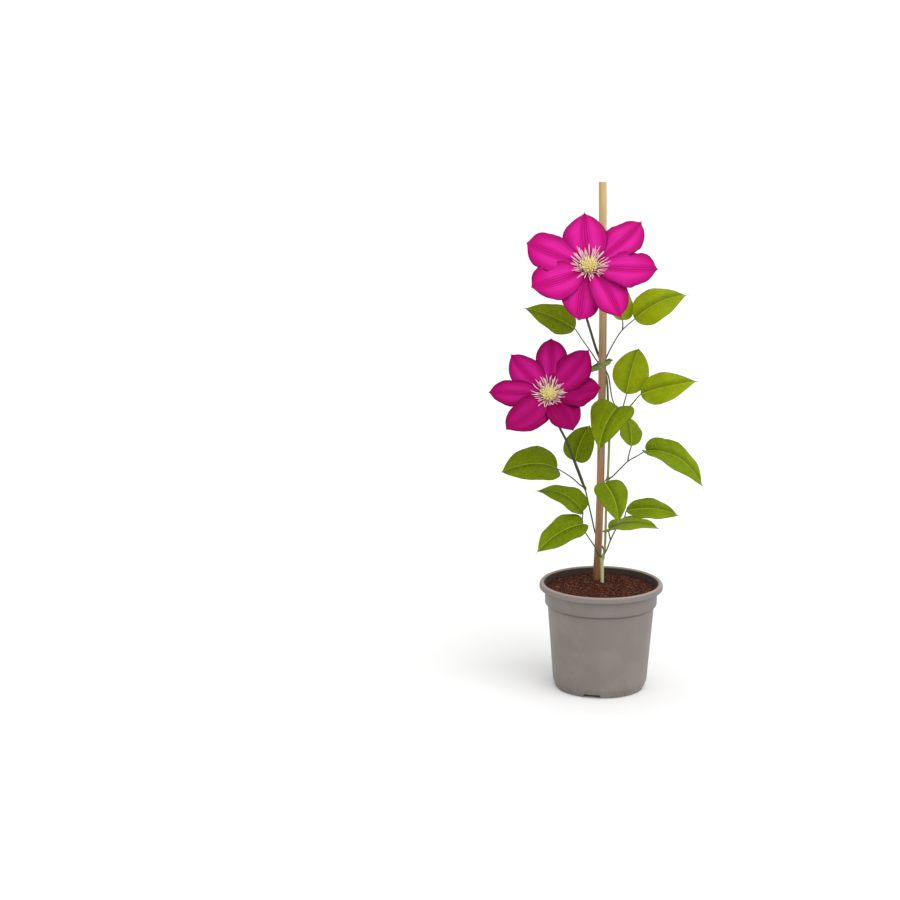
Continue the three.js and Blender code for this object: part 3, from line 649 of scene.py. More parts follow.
@dataclass(frozen=True)
class GreenStem:
    """Stem skin: age runs from a fresh shoot to a dark flower stalk, bark from green to pale wood, that pale
    partly a painted highlight.
    """

    fresh: Colour = shade(140, 158, 42)
    ridge: Colour = shade(94, 114, 32)
    old: Colour = shade(44, 48, 26)
    # Pale wood made as bright as a highlight: partly a painted highlight on the stem's foot.
    pale: Colour = shade(238, 234, 184)
    purple: Colour = shade(72, 56, 40)

    def write(self, paint: Paint) -> None:
        """Writes the material."""
        where = paint.place()
        streak = paint.noise(where * (1.0, 1.0, 0.08), 1.6)
        mottle = paint.noise(where, 0.16)
        young = paint.coats(self.fresh, (self.ridge, paint.between(streak, 0.4, 0.62)),
                            (self.purple, paint.between(mottle, 0.56, 0.74) * 0.45))
        aged = paint.coats(self.old, (self.purple, paint.between(mottle, 0.5, 0.7) * 0.4))
        # Pale bark on the stem's foot, partly a painted highlight.
        bark = paint.attribute("bark") * paint.between(mottle + streak, 0.55, 0.95)
        colour = paint.coats(young, (aged, paint.attribute("age")), (self.pale, bark))
        paint.close(colour, 0.48 + (streak - 0.5) * 0.24, 0.4, paint.relief(streak, 0.14))


@dataclass(frozen=True)
class SoftTie:
    """A soft hollow plant tie, pale green, with a faint ribbing along it and a dark pinched end."""

    body: Colour = shade(132, 152, 88)
    groove: Colour = shade(92, 112, 58)
    end: Colour = shade(70, 84, 44)

    def write(self, paint: Paint) -> None:
        """Writes the material."""
        where = paint.place()
        grain = paint.noise(where, 1.1)
        band = paint.noise(where * (0.15, 0.15, 1.0), 1.5, 2.0)
        colour = paint.coats(self.body, (self.groove, paint.between(band * 0.6 + grain * 0.4, 0.46, 0.62)),
                             (self.end, paint.attribute("age")))
        paint.close(colour, 0.6 + (grain - 0.5) * 0.2, 0.35, paint.relief(band, 0.25))


@dataclass(frozen=True)
class LeafSkin:
    """A satin yellow-green leaf with five main veins, a net of fine ones, a paler underside, painted shade
    beside the midrib and the side veins, and painted light by its tint.
    """

    deep: Colour = shade(84, 108, 0)
    mid: Colour = shade(116, 138, 2)
    light: Colour = shade(158, 174, 8)
    vein: Colour = shade(176, 194, 50)
    # Painted shade along one side of the midrib and beside the side veins.
    fold_shade: Colour = shade(66, 90, 0)
    margin: Colour = shade(52, 72, 4)
    below: Colour = shade(120, 138, 70)
    inner: float = 0.38
    outer: float = 0.74

    def write(self, paint: Paint) -> None:
        """Writes the material."""
        across, half, along, upper, tint = map(paint.attribute, BLADE_VALUES)
        flat = paint.attribute("flat", "Vector")
        out = abs(across)
        def line(place: float, width: float) -> Term:
            """1 on the vein at that share of the width, 0 beside it."""
            return paint.between(abs(out - place) * half, width, 0.25 * width)
        cloud = paint.noise(flat, 0.05)
        blotch = paint.noise(flat, 0.22)
        warp = paint.node("ShaderNodeTexNoise", None, {"Vector": flat, "Scale": 0.2})[1] * 2.5
        net = paint.cells(flat + warp, 0.21, 0.09)
        fine = paint.cells(flat, 0.75, 0.12)
        side_veins = line(self.inner, 0.6) + line(self.outer, 0.45)
        veins = line(0.0, 0.9) * 1.7 + side_veins * 0.3
        # Painted shade: one half darker along the midrib, as in a fold, and darker beside the side veins.
        beside = paint.between(out * half, 9.0, 0.6) * (0.15 + 0.85 * (across > 0.0)) + side_veins * 0.2
        # The tint is painted light: how lit each leaf is painted.
        tone = cloud * 0.5 + blotch * 0.3 + tint * 0.6 + along * 0.15 - 0.3
        face = paint.coats(
            paint.ramp(tone, (0.1, self.deep), (0.45, self.mid), (0.85, self.light)),
            (self.fold_shade, beside * 0.62), (self.light, fine * 0.1), (self.vein, net * 0.16),
            (self.vein, veins * (1 - along * 0.7) * 0.5))
        reverse = paint.coats(face, (self.below, 0.62), (self.vein, (net * 0.3 + veins * 0.6) * 0.6))
        rim = paint.between((1 - out) * half, 0.8, 0.25)
        colour = paint.coats(reverse, (face, upper), (self.margin, rim * 0.7),
                             (self.margin, paint.between(along, 0.92, 1.0) * 0.55))
        roughness = 0.58 - upper * 0.14 + (blotch - 0.5) * 0.16 + net * 0.08
        height = 0.5 + (cloud - 0.5) * 0.2 + (1 - net) * 0.35 + (1 - fine) * 0.12
        paint.close(colour, roughness, 0.06, paint.relief(height, 0.22))


@dataclass(frozen=True)
class StalkSkin:
    """A thin grey-green leaf stalk, darker and redder where it leaves the stem."""

    body: Colour = shade(104, 116, 60)
    dark: Colour = shade(58, 60, 42)

    def write(self, paint: Paint) -> None:
        """Writes the material."""
        streak = paint.noise(paint.place() * (1.0, 1.0, 0.3), 0.8)
        foot = paint.between(paint.attribute("along"), 0.25, 0.0)
        colour = paint.coats(self.body, (self.dark, paint.between(streak, 0.42, 0.62) * 0.6 + foot * 0.3))
        paint.close(colour, 0.5 + (streak - 0.5) * 0.2, 0.35, paint.relief(streak, 0.08))


@dataclass(frozen=True)
class TepalSilk:
    """Magenta silk: three ribs in a deeper bar, brighter cheeks beside it, a dark crisp margin, painted shade
    at the foot by the heart, and painted light by its tint.
    """

    bright: Colour = shade(226, 36, 158)
    body: Colour = shade(206, 18, 130)
    deep: Colour = shade(146, 4, 82)
    bar: Colour = shade(212, 14, 132)
    rib: Colour = shade(136, 6, 84)
    # Painted shade: the dark colour at each tepal's foot, where the tepals crowd round the heart.
    heart: Colour = shade(84, 4, 62)
    margin: Colour = shade(72, 6, 52)
    back: Colour = shade(196, 74, 150)
    inner: float = 0.12
    outer: float = 0.23

    def write(self, paint: Paint) -> None:
        """Writes the material. The flat place's third number tells the tepals apart."""
        across, half, along, upper, tint = map(paint.attribute, BLADE_VALUES)
        flat = paint.attribute("flat", "Vector")
        out, inward = abs(across), (1 - abs(across)) * half
        def line(place: float, width: float) -> Term:
            """1 on the rib at that share of the width, 0 beside it."""
            return paint.between(abs(out - place) * half, width, 0.2 * width)
        cloud = paint.noise(flat, 0.06)
        spot = paint.vector(across * 30.0 + (cloud - 0.5) * 6.0, along * 1.6, paint.parts(flat)[2])
        threads = paint.noise(spot, 1.0, 3.0, 0.6)
        middle = paint.between(along, 0.08, 0.34) * paint.between(along, 0.85, 0.5)
        cheek = paint.between(out, 0.1, 0.3) * paint.between(out, 0.85, 0.42)
        # Painted light: the cheeks are brighter the more lit the tepal is painted by its tint.
        glow = middle * (0.35 + cheek * 0.65) * (0.35 + tint) + (cloud - 0.5) * 0.5
        # Darker towards the margins and the tip; the part set by the tint is painted shade.
        edge = (paint.between(out, 0.4, 0.95) * 0.5 + paint.between(along, 0.74, 1.0) * 0.6
                + (0.6 - tint) * 1.55)
        lines = line(0.0, 1.1) + line(self.inner, 0.95) * 0.9 + line(self.outer, 0.8) * 0.5
        fading = 1 - paint.between(along, 0.7, 0.98) * 0.6
        face = paint.coats(
            paint.ramp(glow, (0.0, self.body), (0.75, self.bright)), (self.deep, edge),
            (self.rib, paint.between(threads, 0.52, 0.7) * 0.38),
            (self.bright, paint.between(threads, 0.46, 0.28) * (0.3 + middle) * 0.5),
            (self.bar, paint.between(out, 0.36, 0.14) * tint * 0.6), (self.rib, lines * fading * 0.62),
            (self.heart, paint.between(along, 0.3, 0.06) * 0.85))
        reverse = paint.coats(self.back, (self.bar, paint.between(out, 0.32, 0.08) * 0.7),
                              (self.deep, paint.between(threads, 0.45, 0.7) * 0.35))
        rim = (paint.between(inward, 2.0, 0.4) * 0.6
               + paint.between(inward + (1 - along) * 4.0, 2.4, 0.4) * 0.5)
        colour = paint.coats(reverse, (face, upper), (self.margin, rim))
        height = (threads - 0.5) * 0.8 + (1 - lines) * 0.4
        paint.close(colour, 0.52 + (threads - 0.5) * 0.25, 0.03, paint.relief(height, 0.2))


@dataclass(frozen=True)
class ReceptacleSkin:
    """The green back of the flower's heart."""

    body: Colour = shade(118, 128, 56)
    dark: Colour = shade(92, 60, 62)

    def write(self, paint: Paint) -> None:
        """Writes the material."""
        mottle = paint.noise(paint.place(), 0.5)
        colour = paint.coats(self.body, (self.dark, paint.between(mottle, 0.42, 0.62)))
        paint.close(colour, 0.6, 0.5, paint.relief(mottle, 0.2))


@dataclass(frozen=True)
class StamenSkin:
    """Stamens: yellow-cream near the heart, pinkish white further out, with cream pollen heads."""

    root: Colour = shade(222, 176, 118)
    thread: Colour = shade(244, 196, 210)
    head: Colour = shade(252, 226, 220)
    blush: Colour = shade(226, 130, 186)

    def write(self, paint: Paint) -> None:
        """Writes the material."""
        grain = paint.noise(paint.place(), 1.8, 2.0)
        colour = paint.coats(
            paint.ramp(paint.attribute("along"), (0.0, self.root), (0.3, self.thread), (0.6, self.head)),
            (self.blush, paint.between(paint.attribute("tint"), 0.35, 1.0) * 0.42),
            (self.root, paint.between(grain, 0.55, 0.75) * 0.3))
        paint.close(colour, 0.6, 0.3, paint.relief(grain, 0.1))


@dataclass(frozen=True)
class PistilSkin:
    """The yellow heart: ochre in its depth, pale butter at the tips."""

    depth: Colour = shade(248, 204, 96)
    body: Colour = shade(255, 232, 134)
    tip: Colour = shade(255, 248, 190)

    def write(self, paint: Paint) -> None:
        """Writes the material."""
        grain = paint.noise(paint.place(), 1.6, 2.0)
        tone = paint.attribute("along") + (grain - 0.5) * 0.3
        colour = paint.ramp(tone, (0.1, self.depth), (0.5, self.body), (0.95, self.tip))
        paint.close(colour, 0.6, 0.3, paint.relief(grain, 0.1))


@dataclass(frozen=True)
class StudioPaper:
    """The pale floor."""

    body: Colour = (0.92, 0.92, 0.915)
    cloud: Colour = (0.9, 0.9, 0.9)

    def write(self, paint: Paint) -> None:
        """Writes the material."""
        paint.close(paint.coats(self.body, (self.cloud, paint.noise(paint.place(), 0.02, 2.0))), 0.9, 0.1)


class Finish(Enum):
    """The finishes of the plant, each written once."""

    POT = PotPlastic()
    COMPOST = Compost()
    BAMBOO = Bamboo()
    STEM = GreenStem()
    TIE = SoftTie()
    LEAF = LeafSkin()
    STALK = StalkSkin()
    TEPAL = TepalSilk()
    RECEPTACLE = ReceptacleSkin()
    STAMEN = StamenSkin()
    PISTIL = PistilSkin()
    PAPER = StudioPaper()

    def material(self) -> bpy.types.Material:
        """The finish as a material, written when it is first asked for."""
        name = f"clematis_{self.name.lower()}"
        if name not in bpy.data.materials:
            self.value.write(Paint(name))
        return bpy.data.materials[name]


# ---- Shapes -------------------------------------------------------------------------------


@dataclass
class Patch:
    """Points, faces and what the points carry, in millimetres."""

    points: np.ndarray
    faces: list[tuple[int, ...]]
    carried: dict[str, np.ndarray] = field(default_factory=dict)
    edges: list[tuple[int, int]] = field(default_factory=list)

    @staticmethod
    def joined(patches: list["Patch"]) -> "Patch":
        """Several patches as one."""
        faces, edges, before = [], [], 0
        for patch in patches:
            faces += [tuple(i + before for i in face) for face in patch.faces]
            edges += [(a + before, b + before) for a, b in patch.edges]
            before += len(patch.points)
        carried = {name: np.concatenate([p.carried[name] for p in patches]) for name in patches[0].carried}
        return Patch(np.concatenate([p.points for p in patches]), faces, carried, edges)

    def mesh(self, name: str) -> bpy.types.Mesh:
        """The patch as a Blender mesh, still in millimetres."""
        mesh = bpy.data.meshes.new(name)
        mesh.from_pydata(self.points.tolist(), self.edges, self.faces)
        for label, values in self.carried.items():
            kind, key = ("FLOAT_VECTOR", "vector") if values.ndim == 2 else ("FLOAT", "value")
            mesh.attributes.new(label, kind, "POINT").data.foreach_set(key, values.astype(np.float32).ravel())
        mesh.update()
        return mesh


def unit(vector: Any) -> np.ndarray:
    """The vector at length 1."""
    vector = np.asarray(vector, float)
    return vector / np.linalg.norm(vector, axis=-1, keepdims=True)


def look_of(up: float, round_: float) -> np.ndarray:
    """The way a side looks, from degrees up and degrees round from -Y towards +X."""
    a, b = math.radians(up), math.radians(round_)
    return np.array([math.sin(b) * math.cos(a), -math.cos(b) * math.cos(a), math.sin(a)])


def smooth_line(points: list[Point], step: float = 1.6) -> np.ndarray:
    """Points close together on the centripetal Catmull-Rom curve through the points given.

    Args:
        points: what the curve runs through.
        step: about how far apart the results lie.

    Returns:
        An array of points.
    """
    given = np.array(points, float)
    full = np.vstack([2 * given[0] - given[1], given, 2 * given[-1] - given[-2]])
    line = []
    for p0, p1, p2, p3 in zip(full, full[1:], full[2:], full[3:]):
        gaps = [max(np.linalg.norm(b - a), 1e-6) ** 0.5 for a, b in ((p0, p1), (p1, p2), (p2, p3))]
        start = ((p1 - p0) / gaps[0] - (p2 - p0) / (gaps[0] + gaps[1]) + (p2 - p1) / gaps[1]) * gaps[1]
        stop = ((p2 - p1) / gaps[1] - (p3 - p1) / (gaps[1] + gaps[2]) + (p3 - p2) / gaps[2]) * gaps[1]
        count = max(2, int(np.linalg.norm(p2 - p1) / step))
        t = np.linspace(0, 1, count, endpoint=False)[:, None]
        line.append(p1 + start * t + (-3 * p1 + 3 * p2 - 2 * start - stop) * t ** 2
                    + (2 * p1 - 2 * p2 + start + stop) * t ** 3)
    return np.vstack([*line, given[-1]])


def strand(line: np.ndarray, thick: np.ndarray, closed: bool = False, **carried: np.ndarray) -> Patch:
    """A line of points ready for a sweep.

    Args:
        line: its points.
        thick: the half thickness at each point.
        closed: whether its end meets its start.
        carried: other values at each point.

    Returns:
        A patch of points and edges.
    """
    count = len(line)
    edges = [(i, i + 1) for i in range(count - 1)] + ([(count - 1, 0)] if closed else [])
    return Patch(line, [], {"thick": thick, **carried}, edges)


def lathe(profile: list[Span], segments: int) -> Patch:
    """A closed solid of revolution about Z.

    Args:
        profile: points of radius and height, anticlockwise, from the axis below to the axis above.
        segments: steps round it.

    Returns:
        The solid.
    """
    turn = np.linspace(0, 2 * math.pi, segments, endpoint=False)
    ring = np.array(profile[1:-1])
    points = np.stack([
        ring[:, :1] * np.cos(turn), ring[:, :1] * np.sin(turn), np.repeat(ring[:, 1:], segments, axis=1),
    ], axis=-1).reshape(-1, 3)
    faces = []
    for i in range(len(ring) - 1):
        for j in range(segments):
            a, b = i * segments + j, i * segments + (j + 1) % segments
            faces.append((a, b, b + segments, a + segments))
    foot, top, last = len(points), len(points) + 1, (len(ring) - 1) * segments
    for j in range(segments):
        k = (j + 1) % segments
        faces += [(foot, k, j), (top, last + j, last + k)]
    ends = np.array([[0, 0, profile[0][1]], [0, 0, profile[-1][1]]])
    return Patch(np.vstack([points, ends]), faces)


def softened(profile: list[Span], cut: float, steps: int = 3) -> list[Span]:
    """The profile with its corners rounded, cut being how far from each the rounding starts."""
    line = np.array(profile)
    out = [profile[0]]
    for before, corner, after in zip(line, line[1:], line[2:]):
        to_before, to_after = before - corner, after - corner
        lengths = [np.linalg.norm(to_before), np.linalg.norm(to_after)]
        start, stop = (corner + way / length * min(cut, 0.42 * length)
                       for way, length in zip((to_before, to_after), lengths))
        for t in np.linspace(0, 1, steps + 1):
            spot = (1 - t) ** 2 * start + 2 * t * (1 - t) * corner + t ** 2 * stop
            out.append((float(spot[0]), float(spot[1])))
    return [*out, profile[-1]]


def drill(x: float, y: float, radius: float, low: float, high: float, segments: int) -> Patch:
    """An upright round cutter."""
    made = lathe([(0, low), (radius, low), (radius, high), (0, high)], segments)
    made.points = made.points + np.array([x, y, 0])
    return made


def cut_away(mesh: bpy.types.Mesh, cutters: list[Patch]) -> bpy.types.Mesh:
    """Cuts closed shapes out of a closed mesh.

    Args:
        mesh: what is cut; it is used up.
        cutters: the shapes taken away.

    Returns:
        The mesh that is left.
    """
    body, cutter = linked("body", mesh), linked("cutter", Patch.joined(cutters).mesh("cutter"))
    modifier = body.modifiers.new("cut", "BOOLEAN")
    modifier.operation, modifier.solver, modifier.object = "DIFFERENCE", "EXACT", cutter
    graph = bpy.context.evaluated_depsgraph_get()
    left = bpy.data.meshes.new_from_object(body.evaluated_get(graph), depsgraph=graph)
    removed(body, cutter)
    return left


@dataclass
class Blade:
    """A leaf or tepal as one curved sheet, whose outline and swell follow a rule.

    along runs from 0 at the base to 1 at the tip, across from -1 to 1. The outline is widest near
    rise / (rise + fall) of the length. lobe sweeps the base back beside the stalk, arch lifts the
    middle, fold makes a valley of the midrib, puff rounds each half, bend curves the midrib
    sideways, wave ripples the margin, frill crimps it finely and peak draws out the tip. ends are
    the degrees that the rule of the outline starts and stops at.
    """

    base: Point
    tip: Point
    look: np.ndarray
    width: float
    rise: float = 1.0
    fall: float = 2.2
    arch: float = 0.1
    fold: float = 0.2
    puff: float = 0.2
    lobe: float = 0.0
    bend: float = 0.0
    wave: float = 0.0
    waves: float = 2.5
    peak: float = 0.0
    frill: float = 0.3
    frills: float = 9.0
    blunt: float = 0.35
    thickness: float = 0.5
    seed: float = 0.0
    ends: Span = (1.2, 89.2)
    rows: int = 46
    columns: tuple[float, ...] = (
        0, 0.02, 0.05, 0.1, 0.17, 0.25, 0.32, 0.36, 0.38, 0.4, 0.44, 0.5, 0.57, 0.64, 0.7, 0.74, 0.78, 0.84,
        0.91, 0.96, 1,
    )

    def surface(self, along: np.ndarray, across: np.ndarray) -> tuple[np.ndarray, np.ndarray]:
        """Points of the blade's middle surface.

        Args:
            along: places from base to tip.
            across: places from edge to edge.

        Returns:
            The points, and half the blade's width at each.
        """
        base, chord = np.array(self.base, float), np.subtract(self.tip, self.base)
        length = float(np.linalg.norm(chord))
        forward = chord / length
        up = unit(self.look - forward * float(self.look @ forward))
        sideways = np.cross(up, forward)
        t = np.radians(self.ends[0] + (self.ends[1] - self.ends[0]) * along)
        widest = math.atan(math.sqrt(self.rise / self.fall))
        most = math.sin(widest) ** self.rise * math.cos(widest) ** self.fall
        half = np.maximum(self.blunt, self.width / 2 * np.sin(t) ** self.rise * np.cos(t) ** self.fall / most)
        travel = np.sin(t) ** 2
        lobe = np.where(t < math.pi / 3, self.lobe * np.sin(3 * t), 0)
        hump = 4 * travel * (1 - travel)
        beak = self.peak * travel ** 8 * (1 - np.abs(across))
        out = half * across
        side = np.where(across > 0, 0, 1.3)
        edge = (np.abs(out) / (self.width / 2)) ** 2
        lift = (self.arch * length * hump + self.fold * (np.hypot(out, 1) - 1)
                - self.puff * out ** 2 / (self.width / 2)
                + self.wave * np.sin(2 * math.pi * self.waves * travel + side) * edge
                + self.frill * np.sin(2 * math.pi * self.frills * travel + 2 * side + self.seed) * edge ** 2)
        place = length * (travel - lobe * np.abs(across) ** 1.5 + beak)
        points = (base + forward * place[..., None] + sideways * (out + self.bend * length * hump)[..., None]
                  + up * lift[..., None])
        return points, half

    def normal(self, along: np.ndarray, across: np.ndarray) -> np.ndarray:
        """The way the upper side looks at each place."""
        step = 0.004
        a = np.clip(along, step, 1 - step)
        ahead = self.surface(a + step, across)[0] - self.surface(a - step, across)[0]
        beside = self.surface(a, across + step)[0] - self.surface(a, across - step)[0]
        return unit(np.cross(ahead, beside))

    def patch(self, tint: float) -> Patch:
        """The blade as a thin closed body whose points carry their place on it.

        Args:
            tint: painted light, from 0 for a deep, shaded blade to 1 for a light, lit one.

        Returns:
            The blade.
        """
        right = np.array(self.columns)
        across, along = np.meshgrid(np.concatenate([-right[:0:-1], right]), np.linspace(0, 1, self.rows))
        middle, half = self.surface(along, across)
        normal = self.normal(along, across)
        thin = self.thickness / 2 * (0.35 + 0.65 * (1 - np.abs(across) ** 6))[..., None]
        length = float(np.linalg.norm(np.subtract(self.tip, self.base)))
        flat = np.stack([half * across, np.sin(np.radians(90 * along)) ** 2 * length,
                         np.full_like(along, 37.0 * self.seed)], axis=-1)
        carried = {"along": along, "across": across, "half": half, "tint": np.full_like(along, tint)}
        both = {name: np.tile(values.ravel(), 2) for name, values in carried.items()}
        both["upper"] = np.repeat([1.0, 0.0], along.size)
        both["flat"] = np.tile(flat.reshape(-1, 3), (2, 1))
        both["lift"] = np.tile(normal.reshape(-1, 3), (2, 1))
        points = np.vstack([(middle + normal * thin).reshape(-1, 3), (middle - normal * thin).reshape(-1, 3)])
        return Patch(points, self._faces(*along.shape), both)

    @staticmethod
    def _faces(rows: int, columns: int) -> list[tuple[int, ...]]:
        """The faces of both sides and of the rim between them."""
        def at(i: int, j: int) -> int:
            """The upper point in that row and column."""
            return i * columns + j
        under = rows * columns
        faces = []
        for i in range(rows - 1):
            for j in range(columns - 1):
                square = (at(i, j), at(i + 1, j), at(i + 1, j + 1), at(i, j + 1))
                faces += [square, tuple(p + under for p in reversed(square))]
        rim = [at(i, 0) for i in range(rows - 1)] + [at(rows - 1, j) for j in range(columns - 1)]
        rim += [at(i, columns - 1) for i in range(rows - 1, 0, -1)]
        rim += [at(0, j) for j in range(columns - 1, 0, -1)]
        faces += [(p, p + under, q + under, q) for p, q in zip(rim, rim[1:] + rim[:1])]
        return faces


# ---- Putting pieces on the frame ----------------------------------------------------------


def place(mesh: bpy.types.Mesh, name: str, node: str, slot: str, smooth_angle: float = 60) -> None:
    """Makes a finished piece of a mesh in millimetres and lets it stand for a node.

    Args:
        mesh: the piece's mesh.
        name: the piece's name.
        node: the CAD node that it replaces.
        slot: the name of a material slot; it is not used.
        smooth_angle: degrees past which its edges stay sharp.
    """
    mesh.transform(Matrix.Scale(MM, 4))
    mesh.set_sharp_from_angle(angle=math.radians(smooth_angle))
    mesh.name = name
    piece = linked(name, mesh)
    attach(piece, "root")
    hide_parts(node)
    LOG.info("%s: %d faces for %s", name, len(mesh.polygons), node)


def dressed(mesh: bpy.types.Mesh, finish: Finish) -> bpy.types.Mesh:
    """The mesh with smooth faces and that finish."""
    mesh.materials.clear()
    mesh.materials.append(finish.material())
    mesh.shade_smooth()
    return mesh


# ---- Pot, compost and cane ----------------------------------------------------------------


@dataclass
class NurseryPot:
    """The pot: rim, collar, wall with a step above its foot, ring foot with notches, drain holes.

    gutter is the inner and outer radius of the groove underneath and its height. notch is a depth, a
    width and a height, hole a radius and how far from the axis it sits. first_drain is in degrees.
    The edges are how far across and along the wall the corners are cut.
    """

    height: float = 131.0
    rim_radius: float = 75.0
    rim_height: float = 7.5
    mouth_radius: float = 69.0
    collar_radius: float = 68.4
    collar_bottom: float = 104.0
    wall_top_radius: float = 64.7
    wall_bottom_radius: float = 57.2
    foot_step: float = 9.0
    foot_radius: float = 53.0
    gutter: tuple[float, float, float] = (30.0, 46.0, 3.6)
    wall: float = 1.6
    segments: int = 160
    drains: int = 4
    first_drain: float = -103.7
    foot_edge: Span = (1.4, 1.0)
    step_edge: float = 0.9
    collar_edge: float = 0.6
    rim_under: Span = (0.7, 1.2)
    rim_taper: float = 0.3
    rim_edge: Span = (2.2, 2.4)
    mouth_edge: float = 1.6
    softness: float = 1.1
    notch: tuple[float, float, float] = (14.0, 22.5, 4.6)
    notch_inset: float = 2.4
    notch_taper: float = 1.2
    notch_below: float = 4.0
    hole: Span = (5.0, 38.0)
    hole_past: float = 3.0
    hole_segments: int = 32

    def wall_radius(self, height: float) -> float:
        """The outside radius of the plain wall at a height."""
        slope = (self.wall_top_radius - self.wall_bottom_radius) / (self.collar_bottom - self.foot_step)
        return self.wall_bottom_radius + slope * (height - self.foot_step)

    def inside(self, inset: float = 0.0) -> list[Span]:
        """The inside as points of radius and height, from the floor to under the rim."""
        floor = self.gutter[2] + self.wall
        less = self.wall + inset
        return [
            (self.foot_radius - 1 - inset, floor + inset),
            (self.wall_radius(self.foot_step + 2) - less, self.foot_step + 2),
            (self.wall_radius(self.collar_bottom - 3) - less, self.collar_bottom - 3),
            (self.collar_radius - less, self.collar_bottom + 1),
            (self.collar_radius - less, self.height - self.rim_height - 1),
        ]

    def _profile(self) -> list[Span]:
        """The pot's whole section, its corners rounded."""
        inner, outer, gutter_height = self.gutter
        rim_bottom, floor = self.height - self.rim_height, gutter_height + self.wall
        wall, step, collar = self.wall_radius, self.step_edge, self.collar_edge
        return softened([
            (0, 0), (inner, 0), (inner + 1, gutter_height), (outer - 1, gutter_height), (outer, 0),
            (self.foot_radius, 0), (self.foot_radius + self.foot_edge[0], self.foot_edge[1]),
            (wall(self.foot_step) - step, self.foot_step - step), (wall(self.foot_step), self.foot_step),
            (wall(self.collar_bottom - 1), self.collar_bottom - 1),
            (self.collar_radius - collar, self.collar_bottom + collar), (self.collar_radius, rim_bottom),
            (self.rim_radius - self.rim_under[0], rim_bottom),
            (self.rim_radius, rim_bottom + self.rim_under[1]),
            (self.rim_radius - self.rim_taper, self.height - self.rim_edge[1]),
            (self.rim_radius - self.rim_edge[0], self.height),
            (self.mouth_radius + self.mouth_edge, self.height),
            (self.mouth_radius, self.height - self.mouth_edge),
            *reversed(self.inside()),
            (inner - self.wall + 1, floor), (inner - self.wall, self.wall), (0, self.wall),
        ], self.softness)

    def _cutters(self) -> list[Patch]:
        """The notches in the foot and the holes in the gutter."""
        depth, width, height = self.notch
        radius, ring = self.hole
        start, narrow = self.gutter[1] - self.notch_inset, width / 2 - self.notch_taper
        corners = [(-width / 2, -self.notch_below), (width / 2, -self.notch_below), (narrow, height),
                   (-narrow, height)]
        box = np.array([(x, y, z) for x in (start, start + depth) for y, z in corners])
        sides = [(3, 2, 1, 0), (4, 5, 6, 7), (0, 1, 5, 4), (1, 2, 6, 5), (2, 3, 7, 6), (3, 0, 4, 7)]
        low, high = self.gutter[2] - self.hole_past, self.gutter[2] + self.wall + self.hole_past
        hole = drill(ring, 0, radius, low, high, self.hole_segments)
        cutters = []
        for i in range(self.drains):
            spin = np.array(Matrix.Rotation(math.radians(self.first_drain + 360 * i / self.drains), 3, "Z"))
            cutters += [Patch(box @ spin.T, sides), Patch(hole.points @ spin.T, hole.faces)]
        return cutters

    def build(self) -> None:
        """Makes the pot."""
        mesh = cut_away(lathe(self._profile(), self.segments).mesh("pot"), self._cutters())
        place(dressed(mesh, Finish.POT), "nursery_pot", "pot", "pot", 35)


@dataclass
class BambooCane:
    """The cane, bowed by a hair, sawn off flat with its pith hole showing.

    The edges are how far in and down the corners at its ends are cut. Of swellings each is a height,
    how far below the leaf joint it sits and its reach. unevenness is the size, rate and start of the
    faint waves in its radius. joint_steps are where the closer rings at a joint start and stop and
    how far apart they lie. hole is the place and radius of its hole in the compost.
    """

    path: tuple[Point, ...] = (
        (-3.6, 38, 34), (-2.6, 38, 131), (-1.2, 38, 170), (0, 38, 235), (0.3, 38, 340), (0.1, 38, 440),
        (-1, 38, 520), (-2.7, 38, 611),
    )
    foot_radius: float = 4.6
    top_radius: float = 4.8
    bore: float = 1.7
    bore_depth: float = 5.0
    foot_edge: float = 0.4
    top_edge: Span = (0.4, 0.5)
    bore_edge: Span = (0.3, 0.4)
    step: float = 4.0
    joint_steps: tuple[float, float, float] = (-6.0, 4.5, 0.75)
    swellings: tuple[Point, ...] = ((0.55, 0.0, 1.5), (-0.3, 3.4, 1.6))
    unevenness: tuple[float, float, float] = (0.05, 0.05, 1.0)
    hole: tuple[float, float, float] = (-3.1, 38, 5.25)
    hole_top: float = 140.0
    segments: int = 40

    def radius(self, height: float) -> float:
        """The cane's radius at a height, with its two leaf joints and a faint unevenness."""
        low, high = self.path[0][2], self.path[-1][2]
        plain = self.foot_radius + (self.top_radius - self.foot_radius) * (height - low) / (high - low)
        swell = sum(size * math.exp(-((height - z + below) / reach) ** 2)
                    for z in CANE_JOINTS for size, below, reach in self.swellings)
        faint, rate, start = self.unevenness
        return plain + swell + faint * math.sin(rate * height + start)

    def _patch(self) -> Patch:
        """The cane as a closed solid."""
        low, high = self.path[0][2], self.path[-1][2]
        heights = list(np.arange(low + 1, high - 1, self.step))
        for z in CANE_JOINTS:
            heights += list(z + np.arange(*self.joint_steps))
        side = [(self.radius(z), float(z)) for z in sorted(heights)]
        end = self.radius(high)
        rim = [(end, high - self.top_edge[1]), (end - self.top_edge[0], high),
               (self.bore + self.bore_edge[0], high), (self.bore, high - self.bore_edge[1])]
        solid = lathe([(0, low), (self.radius(low) - self.foot_edge, low), *side, *rim,
                       (self.bore, high - self.bore_depth), (0, high - self.bore_depth)], self.segments)
        axis = smooth_line(self.path, self.step)
        for i in (0, 1):
            solid.points[:, i] += np.interp(solid.points[:, 2], axis[:, 2], axis[:, i])
        return solid

    def cutter(self) -> Patch:
        """The hole that the cane stands in."""
        return drill(*self.hole, self.path[0][2] - 0.4, self.hole_top, 32)

    def build(self) -> None:
        """Makes the cane."""
        place(dressed(self._patch().mesh("cane"), Finish.BAMBOO), "bamboo_cane", "cane", "cane", 40)


